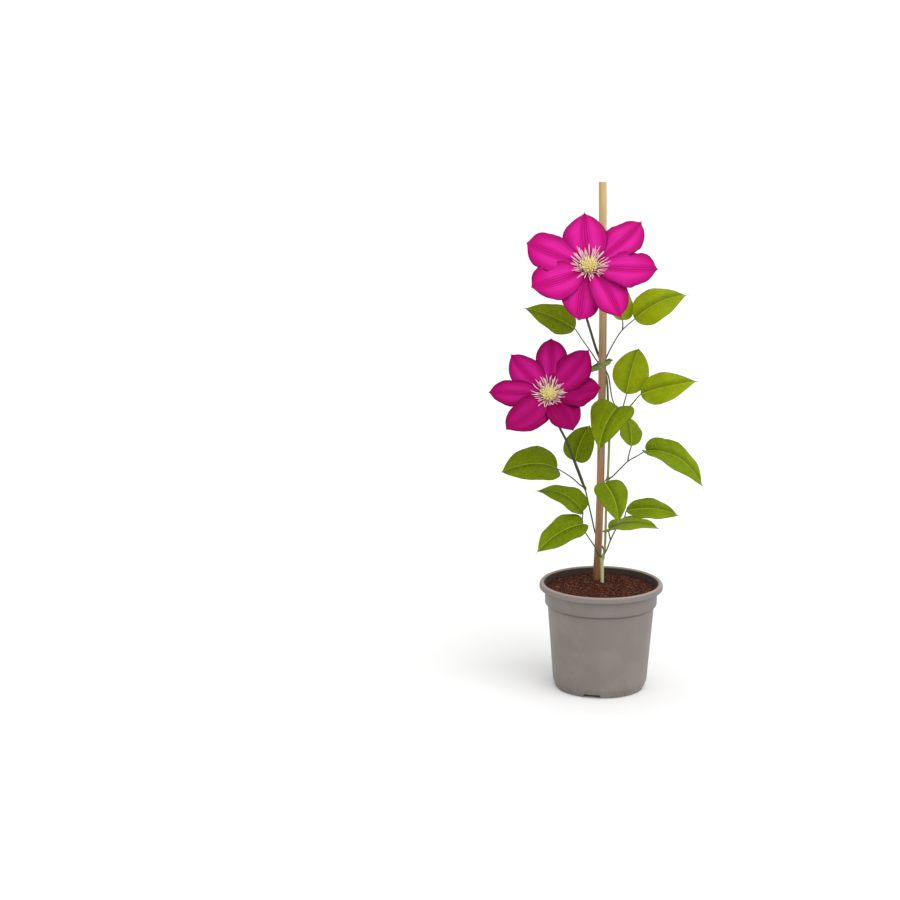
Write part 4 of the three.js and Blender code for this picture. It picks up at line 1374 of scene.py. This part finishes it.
@dataclass
class PeatCompost:
    """The compost: a lumpy top strewn with crumbs and chips, and a plain body filling the pot.

    edge is the height of its top at the pot, mound how much higher its middle is, lump and grit the
    height of its coarse and fine waves. stem_hole is the place, radius and both heights of the hole
    for the stem.
    """

    pot: NurseryPot
    cane: BambooCane
    edge: float = 122.5
    mound: float = 1.8
    lump: float = 0.9
    rings: int = 44
    segments: int = 120
    grit: float = 0.9
    clearance: float = 0.35
    stem_hole: tuple[float, ...] = (3.05, 20.3, 2.6, 95.0, 140.0)

    def _height(self, x: float, y: float) -> float:
        """How high the top stands over its mean at a place."""
        broad = (math.sin(0.31 * x + 0.17 * y) * math.cos(0.23 * y - 0.4)
                 + 0.6 * math.sin(0.52 * y + 0.41 * x + 1.1) + 0.5 * math.cos(0.67 * x - 0.38 * y))
        fine = noise.fractal(Vector((x * 0.42, y * 0.42, 3.1)), 0.8, 2.1, 3)
        return self.lump * broad + self.grit * fine

    def build(self) -> None:
        """Makes the compost."""
        pot, gap = self.pot, self.clearance
        wall = pot.inside(gap)
        edge_radius = wall[-1][0]
        inner, floor = pot.gutter[0] - pot.wall - gap, pot.gutter[2] + pot.wall + gap
        shares = [i / self.rings for i in range(self.rings, -1, -1)]
        top = [(edge_radius * share, self.edge + self.mound * math.cos(math.pi / 2 * share))
               for share in shares]
        solid = lathe([(0, pot.wall + gap), (inner, pot.wall + gap), (inner + 1, floor), *wall[:-1], *top],
                      self.segments)
        for spot in solid.points:
            if spot[2] > self.edge - 0.1:
                spot[2] += self._height(spot[0], spot[1])
        mesh = cut_away(solid.mesh("soil"), [self.cane.cutter(), drill(*self.stem_hole, 24)])
        place(Crumbs().grow(mesh, Finish.COMPOST), "compost", "soil", "soil", 50)


# ---- Stem, leaves and tie -----------------------------------------------------------------


@dataclass
class Shoot:
    """One run of stem: its path, its radius at both ends, and how old its skin looks at both."""

    path: list[Point]
    radii: Span
    age: Span
    bark: Span = (0.0, 0.0)


class Joint(Enum):
    """Where leaves leave the stem: the joint's centre, half width and half height."""

    FOOT = ((2.4, 22, 155), 2.9, 3.6)
    LOW = ((8, 26, 252), 2.3, 3.0)
    MIDDLE = ((9.6, 33, 303), 2.0, 2.8)
    TIED = ((2, 45.4, 390), 2.1, 3.0)
    SIDE = ((-19, 32, 240), 1.9, 2.8)

    def __init__(self, centre: Point, width: float, height: float) -> None:
        """Keeps the joint's sizes."""
        self.centre, self.width, self.height = centre, width, height


@dataclass
class ClimbingStem:
    """All the stems, grown as one, up the cane and out to both flowers."""

    blooms: list["Bloom"]
    sides: int = 14

    def _shoots(self) -> list[Shoot]:
        """The stems in order, from the compost up."""
        upper, lower = (bloom.stalk_end() for bloom in self.blooms)
        return [
            Shoot([(3.2, 20, 96), (3, 20.5, 124), Joint.FOOT.centre], (2.1, 2.0), (0, 0), (1.0, 0.75)),
            Shoot([(2.4, 22, 153), (5, 22, 163), (6, 23, 180), (6.4, 23.5, 214), (7, 25, 239),
                   Joint.LOW.centre, (9, 30, 276), Joint.MIDDLE.centre, (9, 38, 326), (8, 42, 348),
                   (6.6, 44.8, 370), Joint.TIED.centre],
                  (1.5, 1.4), (0, 0.25), (0.3, 0)),
            Shoot([Joint.TIED.centre, (-4.6, 45.2, 403), (-8, 43.5, 412), (-11, 38, 421), (-14.6, 27, 432),
                   (-18.9, 12, 444.9), (-23, -4, 460), *upper], (1.6, 1.65), (0.85, 1.0)),
            Shoot([(2.4, 22, 154), (5, 30, 158), (4.4, 40, 163), (-1, 45.2, 170), (-5.1, 44.6, 181),
                   (-8.6, 42, 196), (-13.6, 38, 217), (-17.8, 33, 234.9), Joint.SIDE.centre],
                  (1.05, 0.95), (0.1, 0.45)),
            Shoot([Joint.SIDE.centre, (-22.5, 30, 247), (-27.8, 24, 261), (-34.8, 14, 280), (-41.7, 4, 300),
                   *lower], (1.35, 1.5), (0.85, 1.0)),
        ]

    @staticmethod
    def _swell(line: np.ndarray, thick: np.ndarray) -> np.ndarray:
        """The thickness with the joints' swellings."""
        for joint in Joint:
            away = np.linalg.norm(line - np.array(joint.centre, float), axis=1) / joint.height
            thick = thick + (joint.width - thick) * np.exp(-away ** 2 * SWELL_FALL)
        return thick

    def build(self) -> None:
        """Makes the stem."""
        strands = []
        for shoot in self._shoots():
            line = smooth_line(shoot.path)
            ends = (shoot.radii, shoot.age, shoot.bark)
            radius, age, bark = (np.linspace(first, last, len(line)) for first, last in ends)
            strands.append(strand(line, self._swell(line, radius), age=age, bark=bark))
        mesh = Sweep().grow(Patch.joined(strands).mesh("stem"), Finish.STEM, Sides=self.sides)
        place(mesh, "climbing_stem", "stem", "stem")


@dataclass
class Leaflet:
    """One blade and the stalk that runs to it from the stem or from the fork.

    radii are the stalk's at its foot and its end, then the midrib's at its start and its end. flare
    is how much thicker the foot is, and how far up. sunk is how deep the midrib lies under the
    blade's face at its start and its end, rib the places that it runs through, and hook how far
    ahead and down the drawn-out end goes.
    """

    stalk: list[Point]
    base: Point
    tip: Point
    width: float
    facing: Span
    arch: float
    wave: float
    bend: float
    lobe: float
    rise: float
    fall: float
    radii: tuple[float, ...] = (0.92, 0.72, 0.62, 0.12)
    flare: Span = (0.5, 3.0)
    sunk: Span = (0.62, 0.42)
    rib: tuple[float, ...] = (0.1, 0.22, 0.36, 0.5, 0.64, 0.78, 0.9, 0.985)
    hook: tuple[Span, ...] = ((2.2, 0.5), (3.6, 1.9))

    def blade(self, seed: float) -> Blade:
        """The leaflet's blade."""
        return Blade(self.base, self.tip, look_of(*self.facing), self.width, rise=self.rise, fall=self.fall,
                     arch=self.arch, lobe=self.lobe, bend=self.bend, wave=self.wave, peak=0.03, seed=seed)

    def strand(self, blade: Blade, from_stem: bool) -> Patch:
        """The stalk and the rib that it becomes under the blade, out to a thin point.

        Args:
            blade: the leaflet's blade.
            from_stem: whether it starts at the stem, where it is thicker.

        Returns:
            A strand for the sweep.
        """
        along = np.array(self.rib)
        middle, _ = blade.surface(along, np.zeros_like(along))
        sunk = blade.thickness / 2 + np.linspace(*self.sunk, len(along))
        under = middle - blade.normal(along, np.zeros_like(along)) * sunk[:, None]
        ahead = unit(under[-1] - under[-2])
        hook = [under[-1] + ahead * further - np.array([0, 0, lower]) for further, lower in self.hook]
        line = smooth_line([*self.stalk, self.base, *map(tuple, under), *map(tuple, hook)])
        free = np.concatenate([[0], np.cumsum(np.linalg.norm(np.diff(line, axis=0), axis=1))])
        to_base = free[int(np.argmin(np.linalg.norm(line - np.array(self.base, float), axis=1)))]
        past = np.clip((free - to_base) / (free[-1] - to_base), 0, 1)
        before = np.clip(free / to_base, 0, 1)
        foot, neck, start, end = self.radii
        rib = end + (start - end) * (1 - past) ** 0.8
        thick = np.where(past > 0, rib, foot + (neck - foot) * before)
        if from_stem:
            thick = thick + self.flare[0] * np.exp(-(free / self.flare[1]) ** 2)
        return strand(line, thick, along=np.linspace(0, 1, len(line)))


@dataclass
class Leaf:
    """A leaf with one or two leaflets on one stalk, the second a step on in tint and seed. Its tint is
    painted light.
    """

    name: str
    leaflets: list[Leaflet]
    # Painted light: how lit the leaf is painted, from 0 in shade to 1 in full light.
    tint: float
    tint_step: float = 0.12
    seed_step: float = 0.37

    def build(self, ribs: Ribs, sweep: Sweep, seed: float) -> None:
        """Makes the leaf's blades and its stalk."""
        blades = [leaflet.blade(seed + self.seed_step * i) for i, leaflet in enumerate(self.leaflets)]
        skins = Patch.joined([blade.patch(self.tint + self.tint_step * i) for i, blade in enumerate(blades)])
        mesh = ribs.grow(skins.mesh(self.name), Finish.LEAF, Side_Share=0.35)
        place(mesh, f"{self.name}_blade", self.name, "leaf", 50)
        stalks = Patch.joined([leaflet.strand(blade, i == 0)
                               for i, (leaflet, blade) in enumerate(zip(self.leaflets, blades))])
        mesh = sweep.grow(stalks.mesh(self.name), Finish.STALK, Sides=10)
        place(mesh, f"{self.name}_stalk", self.name, "leaf")


# Each leaf's tint is painted light: leaves to the right and at the top, towards the light, are painted
# lighter.
LEAVES = [
    Leaf("leaf_top_left", [
        Leaflet([Joint.TIED.centre, (-4, 46, 393), (-14.8, 39, 408.5), (-25.8, 28, 424.7)],
                (-35, 18, 438.5), (-93.5, 30, 461), 40, (45, -1), 0.12, 1.5, 0.015, 0.03,
                1.2, 2.2),
    ], 0.38),
    Leaf("leaf_top_right", [
        Leaflet([Joint.TIED.centre, (7, 44, 403), (14, 38, 419), (23, 30, 435)],
                (37, 22, 449.5), (98.5, 38, 475.5), 43, (38, 3), 0.135, 1.5, 0.035, 0.02,
                1.05, 2),
        Leaflet([(23, 30, 435), (23.5, 31, 441)],
                (23, 32, 447), (22, 50, 488), 27, (18, 10), 0.08, 1, 0, 0.06,
                1.0, 1.9),
    ], 0.9),
    Leaf("leaf_upper_right", [
        Leaflet([Joint.MIDDLE.centre, (14, 31, 315), (20, 27, 328), (25, 20, 345)],
                (28, 14, 360), (43.5, 36, 410.5), 43.5, (10, -9), 0.09, 1.5, 0.02, 0,
                1.15, 1.6),
        Leaflet([(21.1, 26, 331.7), (33, 12, 346.3)],
                (44, 2, 362), (107.5, -12, 380), 38, (27, 4), 0.11, 1.5, 0, 0,
                1.2, 2.1),
    ], 0.8),
    Leaf("leaf_centre", [
        Leaflet([(3.8, 45.2, 385), (8, 44.2, 377), (9.8, 42, 368.3), (11, 34, 357.5), (11.8, 22, 352.4),
                 (13.5, 8, 348.3)],
                (15.5, -6, 348), (-7.5, -36, 302), 51.5, (26, -20), 0.095, 2, -0.045, 0.2,
                1.05, 2.45),
    ], 0.45),
    Leaf("leaf_middle_right", [
        Leaflet([Joint.LOW.centre, (13.4, 24, 256.2), (20.7, 21, 264.6), (31, 16, 276.7), (41, 11, 284.2)],
                (52.5, 4, 292.5), (116.5, -16, 255), 37, (51, 9), 0.185, 2, 0.07, 0.19,
                1.4, 1.75),
        Leaflet([(31, 16, 276.7), (32.5, 16, 286)],
                (35, 16, 296), (29, 36, 328.5), 33, (7, 32), 0.12, 1, 0, 0,
                1.1, 1.65),
    ], 0.42),
    Leaf("leaf_back_left", [
        Leaflet([Joint.SIDE.centre, (-22.2, 33.5, 250), (-26.2, 34, 261)],
                (-31, 32, 274.5), (-13.5, 46, 314), 37, (15, -15), 0.1, 1, 0.045, 0.1,
                1.1, 1.6),
    ], 0.22),
    Leaf("leaf_middle_left", [
        Leaflet([Joint.SIDE.centre, (-25, 30, 244.3), (-36.4, 25, 255.2)],
                (-54, 20, 267), (-120, 2, 267), 50, (46, -1), 0.21, 1, 0, 0.1,
                1.15, 1.45),
    ], 0.3),
    Leaf("leaf_low_centre", [
        Leaflet([Joint.LOW.centre, (7, 19, 256), (5, 7, 257)],
                (1.5, -8, 255.5), (16.5, -36, 213), 38.5, (25, 4), 0.085, 1.5, 0.08, 0.1,
                1.15, 2.3),
    ], 0.3),
    Leaf("leaf_low_left", [
        Leaflet([Joint.FOOT.centre, (-3, 19, 161), (-8, 14, 172), (-14, 8, 182), (-21, 1, 194),
                 (-24, -4, 201)],
                (-23.5, -6, 204.5), (-78, -26, 175.5), 38.5, (47, -11), 0.095, 2, -0.05, 0.16,
                1.35, 1.8),
        Leaflet([(-21, 1, 194), (-23.5, 4, 205)],
                (-23, 8, 217), (-76.5, 30, 236.5), 35.5, (59, 3), 0.15, 1.5, -0.07, 0.125,
                1, 1.85),
    ], 0.3),
    Leaf("leaf_low_right", [
        Leaflet([Joint.FOOT.centre, (7.5, 20, 165), (12, 18, 178), (19, 15, 194), (27, 11, 205)],
                (30, 8, 217.5), (93, 22, 208), 28.5, (42, 0), 0.12, 1.5, 0.03, 0.04,
                1.35, 1.8),
        Leaflet([(12, 18, 178), (9, 9, 191)],
                (8.5, -2, 197), (64.5, -26, 204), 44, (80, 1), 0.13, 1.5, -0.03, 0.18,
                1.05, 1.7),
    ], 0.5),
]


@dataclass
class PlantTie:
    """The soft tie, looped round the cane, the shoot and a leaf stalk, with a pinched tail.

    ripple is the size of the waves along the loop, how many there are and where they start. tail is
    the tail's path from the loop's end, tail_lumps the size and rate of its lumps, and tail_age how
    dark its finish starts and how much that grows.
    """

    centre: Point = (-2.0, 41.1, 390.0)
    half_length: float = 12.2
    half_depth: float = 9.0
    slope: float = 0.45
    half_width: float = 2.75
    half_thickness: float = 0.6
    ripple: tuple[float, float, float] = (0.25, 5.0, 0.6)
    steps: int = 96
    tail: tuple[Point, ...] = ((0, -1, 0), (0.9, -2.2, 1.5), (1.7, -3.6, 1.6))
    tail_radii: Span = (1.7, 1.2)
    tail_height: float = 0.6
    tail_lumps: Span = (0.15, 9.0)
    tail_age: Span = (0.35, 0.65)
    tail_step: float = 0.5

    def build(self) -> None:
        """Makes the loop and its tail."""
        turn = np.linspace(0, 2 * math.pi, self.steps, endpoint=False)
        x, y = self.half_length * np.cos(turn), self.half_depth * np.sin(turn)
        size, ripples, start = self.ripple
        z = self.slope * x + size * np.sin(ripples * turn + start)
        loop = np.stack([x, y, z], axis=1) + np.array(self.centre)
        line = strand(loop, np.full(len(loop), self.half_thickness), True, age=np.zeros(len(loop)))
        mesh = Sweep(upright=True).grow(line.mesh("tie"), Finish.TIE, Sides=16,
                                        Height=self.half_width / self.half_thickness)
        place(mesh, "plant_tie_loop", "tie", "tie")
        end = np.array(self.centre) + [self.half_length, 0, self.slope * self.half_length]
        path = smooth_line([tuple(end + np.array(step)) for step in self.tail], self.tail_step)
        part = np.linspace(0, 1, len(path))
        size, lumps = self.tail_lumps
        thick = np.linspace(*self.tail_radii, len(path)) + size * np.sin(lumps * part)
        tail = strand(path, thick, age=self.tail_age[0] + self.tail_age[1] * part)
        mesh = Sweep().grow(tail.mesh("tie"), Finish.TIE, Height=self.tail_height)
        place(mesh, "plant_tie_tail", "tie", "tie")


# ---- Flowers ------------------------------------------------------------------------------


@dataclass(frozen=True)
class Tepal:
    """One tepal: its place round the heart, its size and outline, and how far its tip comes forward."""

    angle: float
    length: float
    width: float
    bend: float
    rise: float
    fall: float
    forward: float


@dataclass
class Bloom:
    """One flower: its heart, its tepals, the length of its stamens, its tint, which is painted light, and the
    way it looks.

    uneven is how much lighter its tepals are towards light_side, an angle in degrees. stalk is how far
    behind the heart the stalk's last points lie. root and root_depth are where the tepals start, from
    the axis and behind the heart, and roll is how many degrees each lies tilted over the next.
    heart_sag is how far below the middle of the tepals the heart and the stamens sit.
    """

    name: str
    heart: Point
    tepals: list[Tepal]
    spread: float
    # Painted light: how lit the flower is painted; the lower one is painted deeper, as in shade.
    tint: float
    # Painted light: how much lighter the tepals towards light_side are painted.
    uneven: float = 0.0
    facing: Span = (38.0, 0.0)
    stalk: tuple[float, float, float] = (27.35, 14.35, 5.0)
    root: float = 4.0
    root_depth: float = 2.4
    roll: float = 7.0
    heart_sag: float = 3.0
    light_side: float = 120.0
    columns: tuple[float, ...] = (
        0, 0.015, 0.035, 0.06, 0.09, 0.12, 0.15, 0.19, 0.23, 0.27, 0.33, 0.4, 0.48, 0.56, 0.64, 0.72, 0.79,
        0.86, 0.92, 0.97, 1,
    )

    def frame(self, sag: float) -> Matrix:
        """From the flower's own millimetres, looking along +Z, to the plant's.

        Args:
            sag: how far below the middle of the tepals the origin sits.

        Returns:
            The matrix.
        """
        look = look_of(*self.facing)
        right = unit(np.cross([0, 0, 1], look))
        up = np.cross(look, right)
        turn = Matrix([[right[i], up[i], look[i]] for i in range(3)]).to_4x4()
        return Matrix.Translation(self.heart) @ turn @ Matrix.Translation((0.0, -sag, 0.0))

    def stalk_end(self) -> list[Point]:
        """The stalk's last points, square on to the back of the flower."""
        look = look_of(*self.facing)
        return [tuple(np.array(self.heart) - look * away) for away in self.stalk]

    def _blade(self, number: int, tepal: Tepal) -> Blade:
        """One tepal in the flower's own frame."""
        a, roll = math.radians(tepal.angle), math.radians(self.roll)
        look = np.array([-math.sin(a) * math.sin(roll), math.cos(a) * math.sin(roll), math.cos(roll)])
        return Blade(
            (self.root * math.cos(a), self.root * math.sin(a), -self.root_depth),
            (tepal.length * math.cos(a), tepal.length * math.sin(a), tepal.forward - self.root_depth),
            look, tepal.width, rise=tepal.rise, fall=tepal.fall, fold=0.22, bend=tepal.bend, wave=2.2,
            waves=2 + 0.3 * (number % 3), peak=0.045, frill=0.5, frills=7.0 + number % 3, thickness=0.6,
            seed=0.9 * number + self.spread, rows=52, columns=self.columns,
        )

    def _seat(self, mesh: bpy.types.Mesh, part: str, node: str, slot: str, smooth_angle: float = 60) -> None:
        """Turns a part the way the flower looks and lets it stand for one of the flower's nodes.

        Args:
            mesh: the part, in the flower's own millimetres.
            part: the last words of its name.
            node: the last word of the node's name.
            slot: the name of a material slot.
            smooth_angle: degrees past which its edges stay sharp.
        """
        mesh.transform(self.frame(0.0 if node == "tepals" else self.heart_sag))
        place(mesh, f"{self.name}_{part}", f"{self.name}_{node}", slot, smooth_angle)

    def _turned(self, part: str, node: str, slot: str, finish: Finish, profile: list[Span], cut: float,
                segments: int, along: float = 0.0) -> None:
        """Makes a part that is round about the flower's axis.

        Args:
            part: the last word of its name.
            node: the last word of the node's name.
            slot: the name of a material slot.
            finish: its finish.
            profile: points of radius and height, from the axis below to the axis above.
            cut: how far from each corner its rounding starts.
            segments: steps round it.
            along: the place on a stalk whose colour it has.
        """
        patch = lathe(softened(profile, cut), segments)
        patch.carried["along"] = np.full(len(patch.points), along)
        self._seat(dressed(patch.mesh(part), finish), part, node, slot, 40)

    def _tuft(self, whorl: Whorl, part: str, node: str, finish: Finish, **sizes: int | float) -> None:
        """Grows one whorl of stalks.

        Args:
            whorl: the tree that grows it.
            part: the last words of its name.
            node: the last word of the node's name.
            finish: its finish.
            sizes: the tree's inputs; the length is scaled by the flower's spread.
        """
        sizes["Length"] *= self.spread
        mesh = whorl.grow(bpy.data.meshes.new(part), finish, **sizes)
        self._seat(mesh, part, node, node.removesuffix("s"))

    def build(self, ribs: Ribs, whorl: Whorl) -> None:
        """Makes the tepals, the receptacle, the stamens on their cushion and the styles on the heart."""
        blades = []
        for number, tepal in enumerate(self.tepals):
            # Painted light: tepals facing light_side are painted lighter.
            lit = math.cos(math.radians(tepal.angle - self.light_side))
            blades.append(self._blade(number, tepal).patch(self.tint + self.uneven * lit))
        silk = ribs.grow(Patch.joined(blades).mesh("silk"), Finish.TEPAL, Depth=0.32, Width=1.1,
                         Inner=TepalSilk.inner, Outer=TepalSilk.outer, Side_Share=0.8, Pucker=0.5,
                         Pucker_Size=0.09)
        self._seat(silk, "silk", "tepals", "tepal")
        self._turned("receptacle", "tepals", "stem", Finish.RECEPTACLE,
                     [(0, -5), (2.4, -5), (6.5, -2.4), (7.3, -1), (6.5, 1.8), (0, 1.8)], 0.8, 40)
        seed = int(self.spread * 100)
        self._tuft(whorl, "outer_stamens", "stamens", Finish.STAMEN, Seed=seed, Count=76, Ring=6.6,
                   Length=17.5, Least_Length=0.7, Length_Range=0.42, Least_Lean=48.0, Lean_Range=28.0,
                   Thick=0.34, Head=0.5, Curl=0.22)
        self._tuft(whorl, "inner_stamens", "stamens", Finish.PISTIL, Seed=seed + 9, Count=46, Ring=5.6,
                   Length=8.5, Least_Length=0.8, Length_Range=0.3, Least_Lean=30.0, Lean_Range=30.0,
                   Thick=0.36, Head=0.6, Curl=0.14)
        self._turned("cushion", "stamens", "stamen", Finish.STAMEN,
                     [(0, 2.0), (8.4, 2.0), (7.8, 4.2), (0, 4.2)], 1.0, 36)
        self._tuft(whorl, "styles", "pistil", Finish.PISTIL, Seed=5, Count=84, Ring=5.4, Fill=1.0, Foot=4.0,
                   Length=6.2, Least_Lean=0.0, Lean_Range=46.0, Thick=0.68, Head=0.3, Head_Start=0.35,
                   Curl=0.08, Flat=0.9, Rows=7)
        self._turned("heart", "pistil", "pistil", Finish.PISTIL,
                     [(0, 4.25), (4.4, 4.25), (4.4, 5.6), (2.8, 7.4), (0, 8.0)], 0.9, 28, 0.15)


# The tints are painted light: the lower flower is painted deeper, as in shade.
BLOOMS = [
    Bloom("bloom_upper", (-23, -45, 522), [
        Tepal(92.5, 70, 52.5, 0.03, 1.35, 1.75, 2),
        Tepal(45, 87.5, 45, -0.09, 1.75, 1.5, -4.5),
        Tepal(-6, 76.5, 51, -0.1, 1.9, 1.15, 8),
        Tepal(-63, 73, 43, 0.01, 1.85, 1.15, 1),
        Tepal(-101, 66, 45, -0.05, 1.55, 0.9, -6.5),
        Tepal(-155, 71.5, 47.5, 0.085, 1.6, 0.9, 6.5),
        Tepal(162, 73, 46.5, 0.06, 1.8, 0.9, 14),
    ], 1.0, 0.6),
    Bloom("bloom_lower", (-67, -30, 369), [
        Tepal(87, 71, 38, -0.04, 1.5, 1.15, 3),
        Tepal(47.5, 68.5, 43.5, -0.085, 1.45, 1.45, 13),
        Tepal(4.5, 59, 41, -0.1, 1.45, 1.15, 8.5),
        Tepal(-62.5, 56, 41.5, 0.005, 1.45, 1.2, 7.5),
        Tepal(-133, 73, 41, 0.07, 1.1, 1.05, 18),
        Tepal(181, 68.5, 33, 0.035, 1.5, 1.05, 7.5),
        Tepal(130.5, 66, 39, 0.065, 1.4, 1.55, 3.5),
    ], 0.88, 0.22, 0.22),
]


# ---- Studio -------------------------------------------------------------------------------


@dataclass
class Studio:
    """The pale floor, soft daylight and the camera."""

    eye: Point = (-183.5, -2488.2, 835.1)
    pitch: float = 12.26
    lens: float = 85.0
    floor_half: float = 600.0
    sky: float = 0.92
    key: float = 1.35
    key_from: Span = (48.0, 38.0)
    key_softness: float = 60.0

    def build(self) -> None:
        """Makes the floor, the lights and the camera."""
        self._floor()
        self._lights()
        self._camera()

    def _floor(self) -> None:
        """A wide flat floor, which isn't part of the object."""
        half = self.floor_half / MM
        sheet = Patch(np.array([(-half, -half, 0), (half, -half, 0), (half, half, 0), (-half, half, 0)]),
                      [(0, 1, 2, 3)])
        mesh = dressed(sheet.mesh("floor"), Finish.PAPER)
        mesh.transform(Matrix.Scale(MM, 4))
        linked("floor", mesh)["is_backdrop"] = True

    def _lights(self) -> None:
        """An even bright sky and one large soft key from the upper right."""
        world = bpy.data.worlds.new("studio")
        bpy.context.scene.world = world
        world.use_nodes = True
        background = world.node_tree.nodes["Background"]
        background.inputs["Color"].default_value = (1.0, 1.0, 1.0, 1.0)
        background.inputs["Strength"].default_value = self.sky
        lamp = bpy.data.lights.new("key", "SUN")
        lamp.energy = self.key
        lamp.angle = math.radians(self.key_softness)
        towards = Vector(look_of(*self.key_from))
        linked("key", lamp).rotation_euler = towards.to_track_quat("Z", "Y").to_euler()

    def _camera(self) -> None:
        """The camera, level with the plant's middle and tipped down a little."""
        lens = bpy.data.cameras.new("camera")
        lens.lens = self.lens
        lens.sensor_width = 36.0
        lens.clip_end = 2000.0
        camera = linked("camera", lens)
        camera.location = Vector(self.eye) * MM
        camera.rotation_euler = (math.radians(90 - self.pitch), 0, 0)
        bpy.context.scene.camera = camera
        bpy.context.scene.view_settings.view_transform = "Standard"


def main() -> None:
    """Builds the pieces in order, then the studio, and notes both boxes."""
    logging.basicConfig(level=logging.INFO, format="%(name)s %(message)s")
    pot, cane = NurseryPot(), BambooCane()
    pot.build()
    PeatCompost(pot, cane).build()
    cane.build()
    ClimbingStem(BLOOMS).build()
    PlantTie().build()
    ribs, sweep, whorl = Ribs(), Sweep(), Whorl()
    for number, leaf in enumerate(LEAVES):
        leaf.build(ribs, sweep, 1.0 + number)
    for bloom in BLOOMS:
        bloom.build(ribs, whorl)
    Studio().build()
    boxes = {name: [list(corner) for corner in box]
             for name, box in (("cad", CAD_BOX), ("visual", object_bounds()))}
    LOG.info("boxes %s", boxes)


if __name__ == "__main__":
    main()
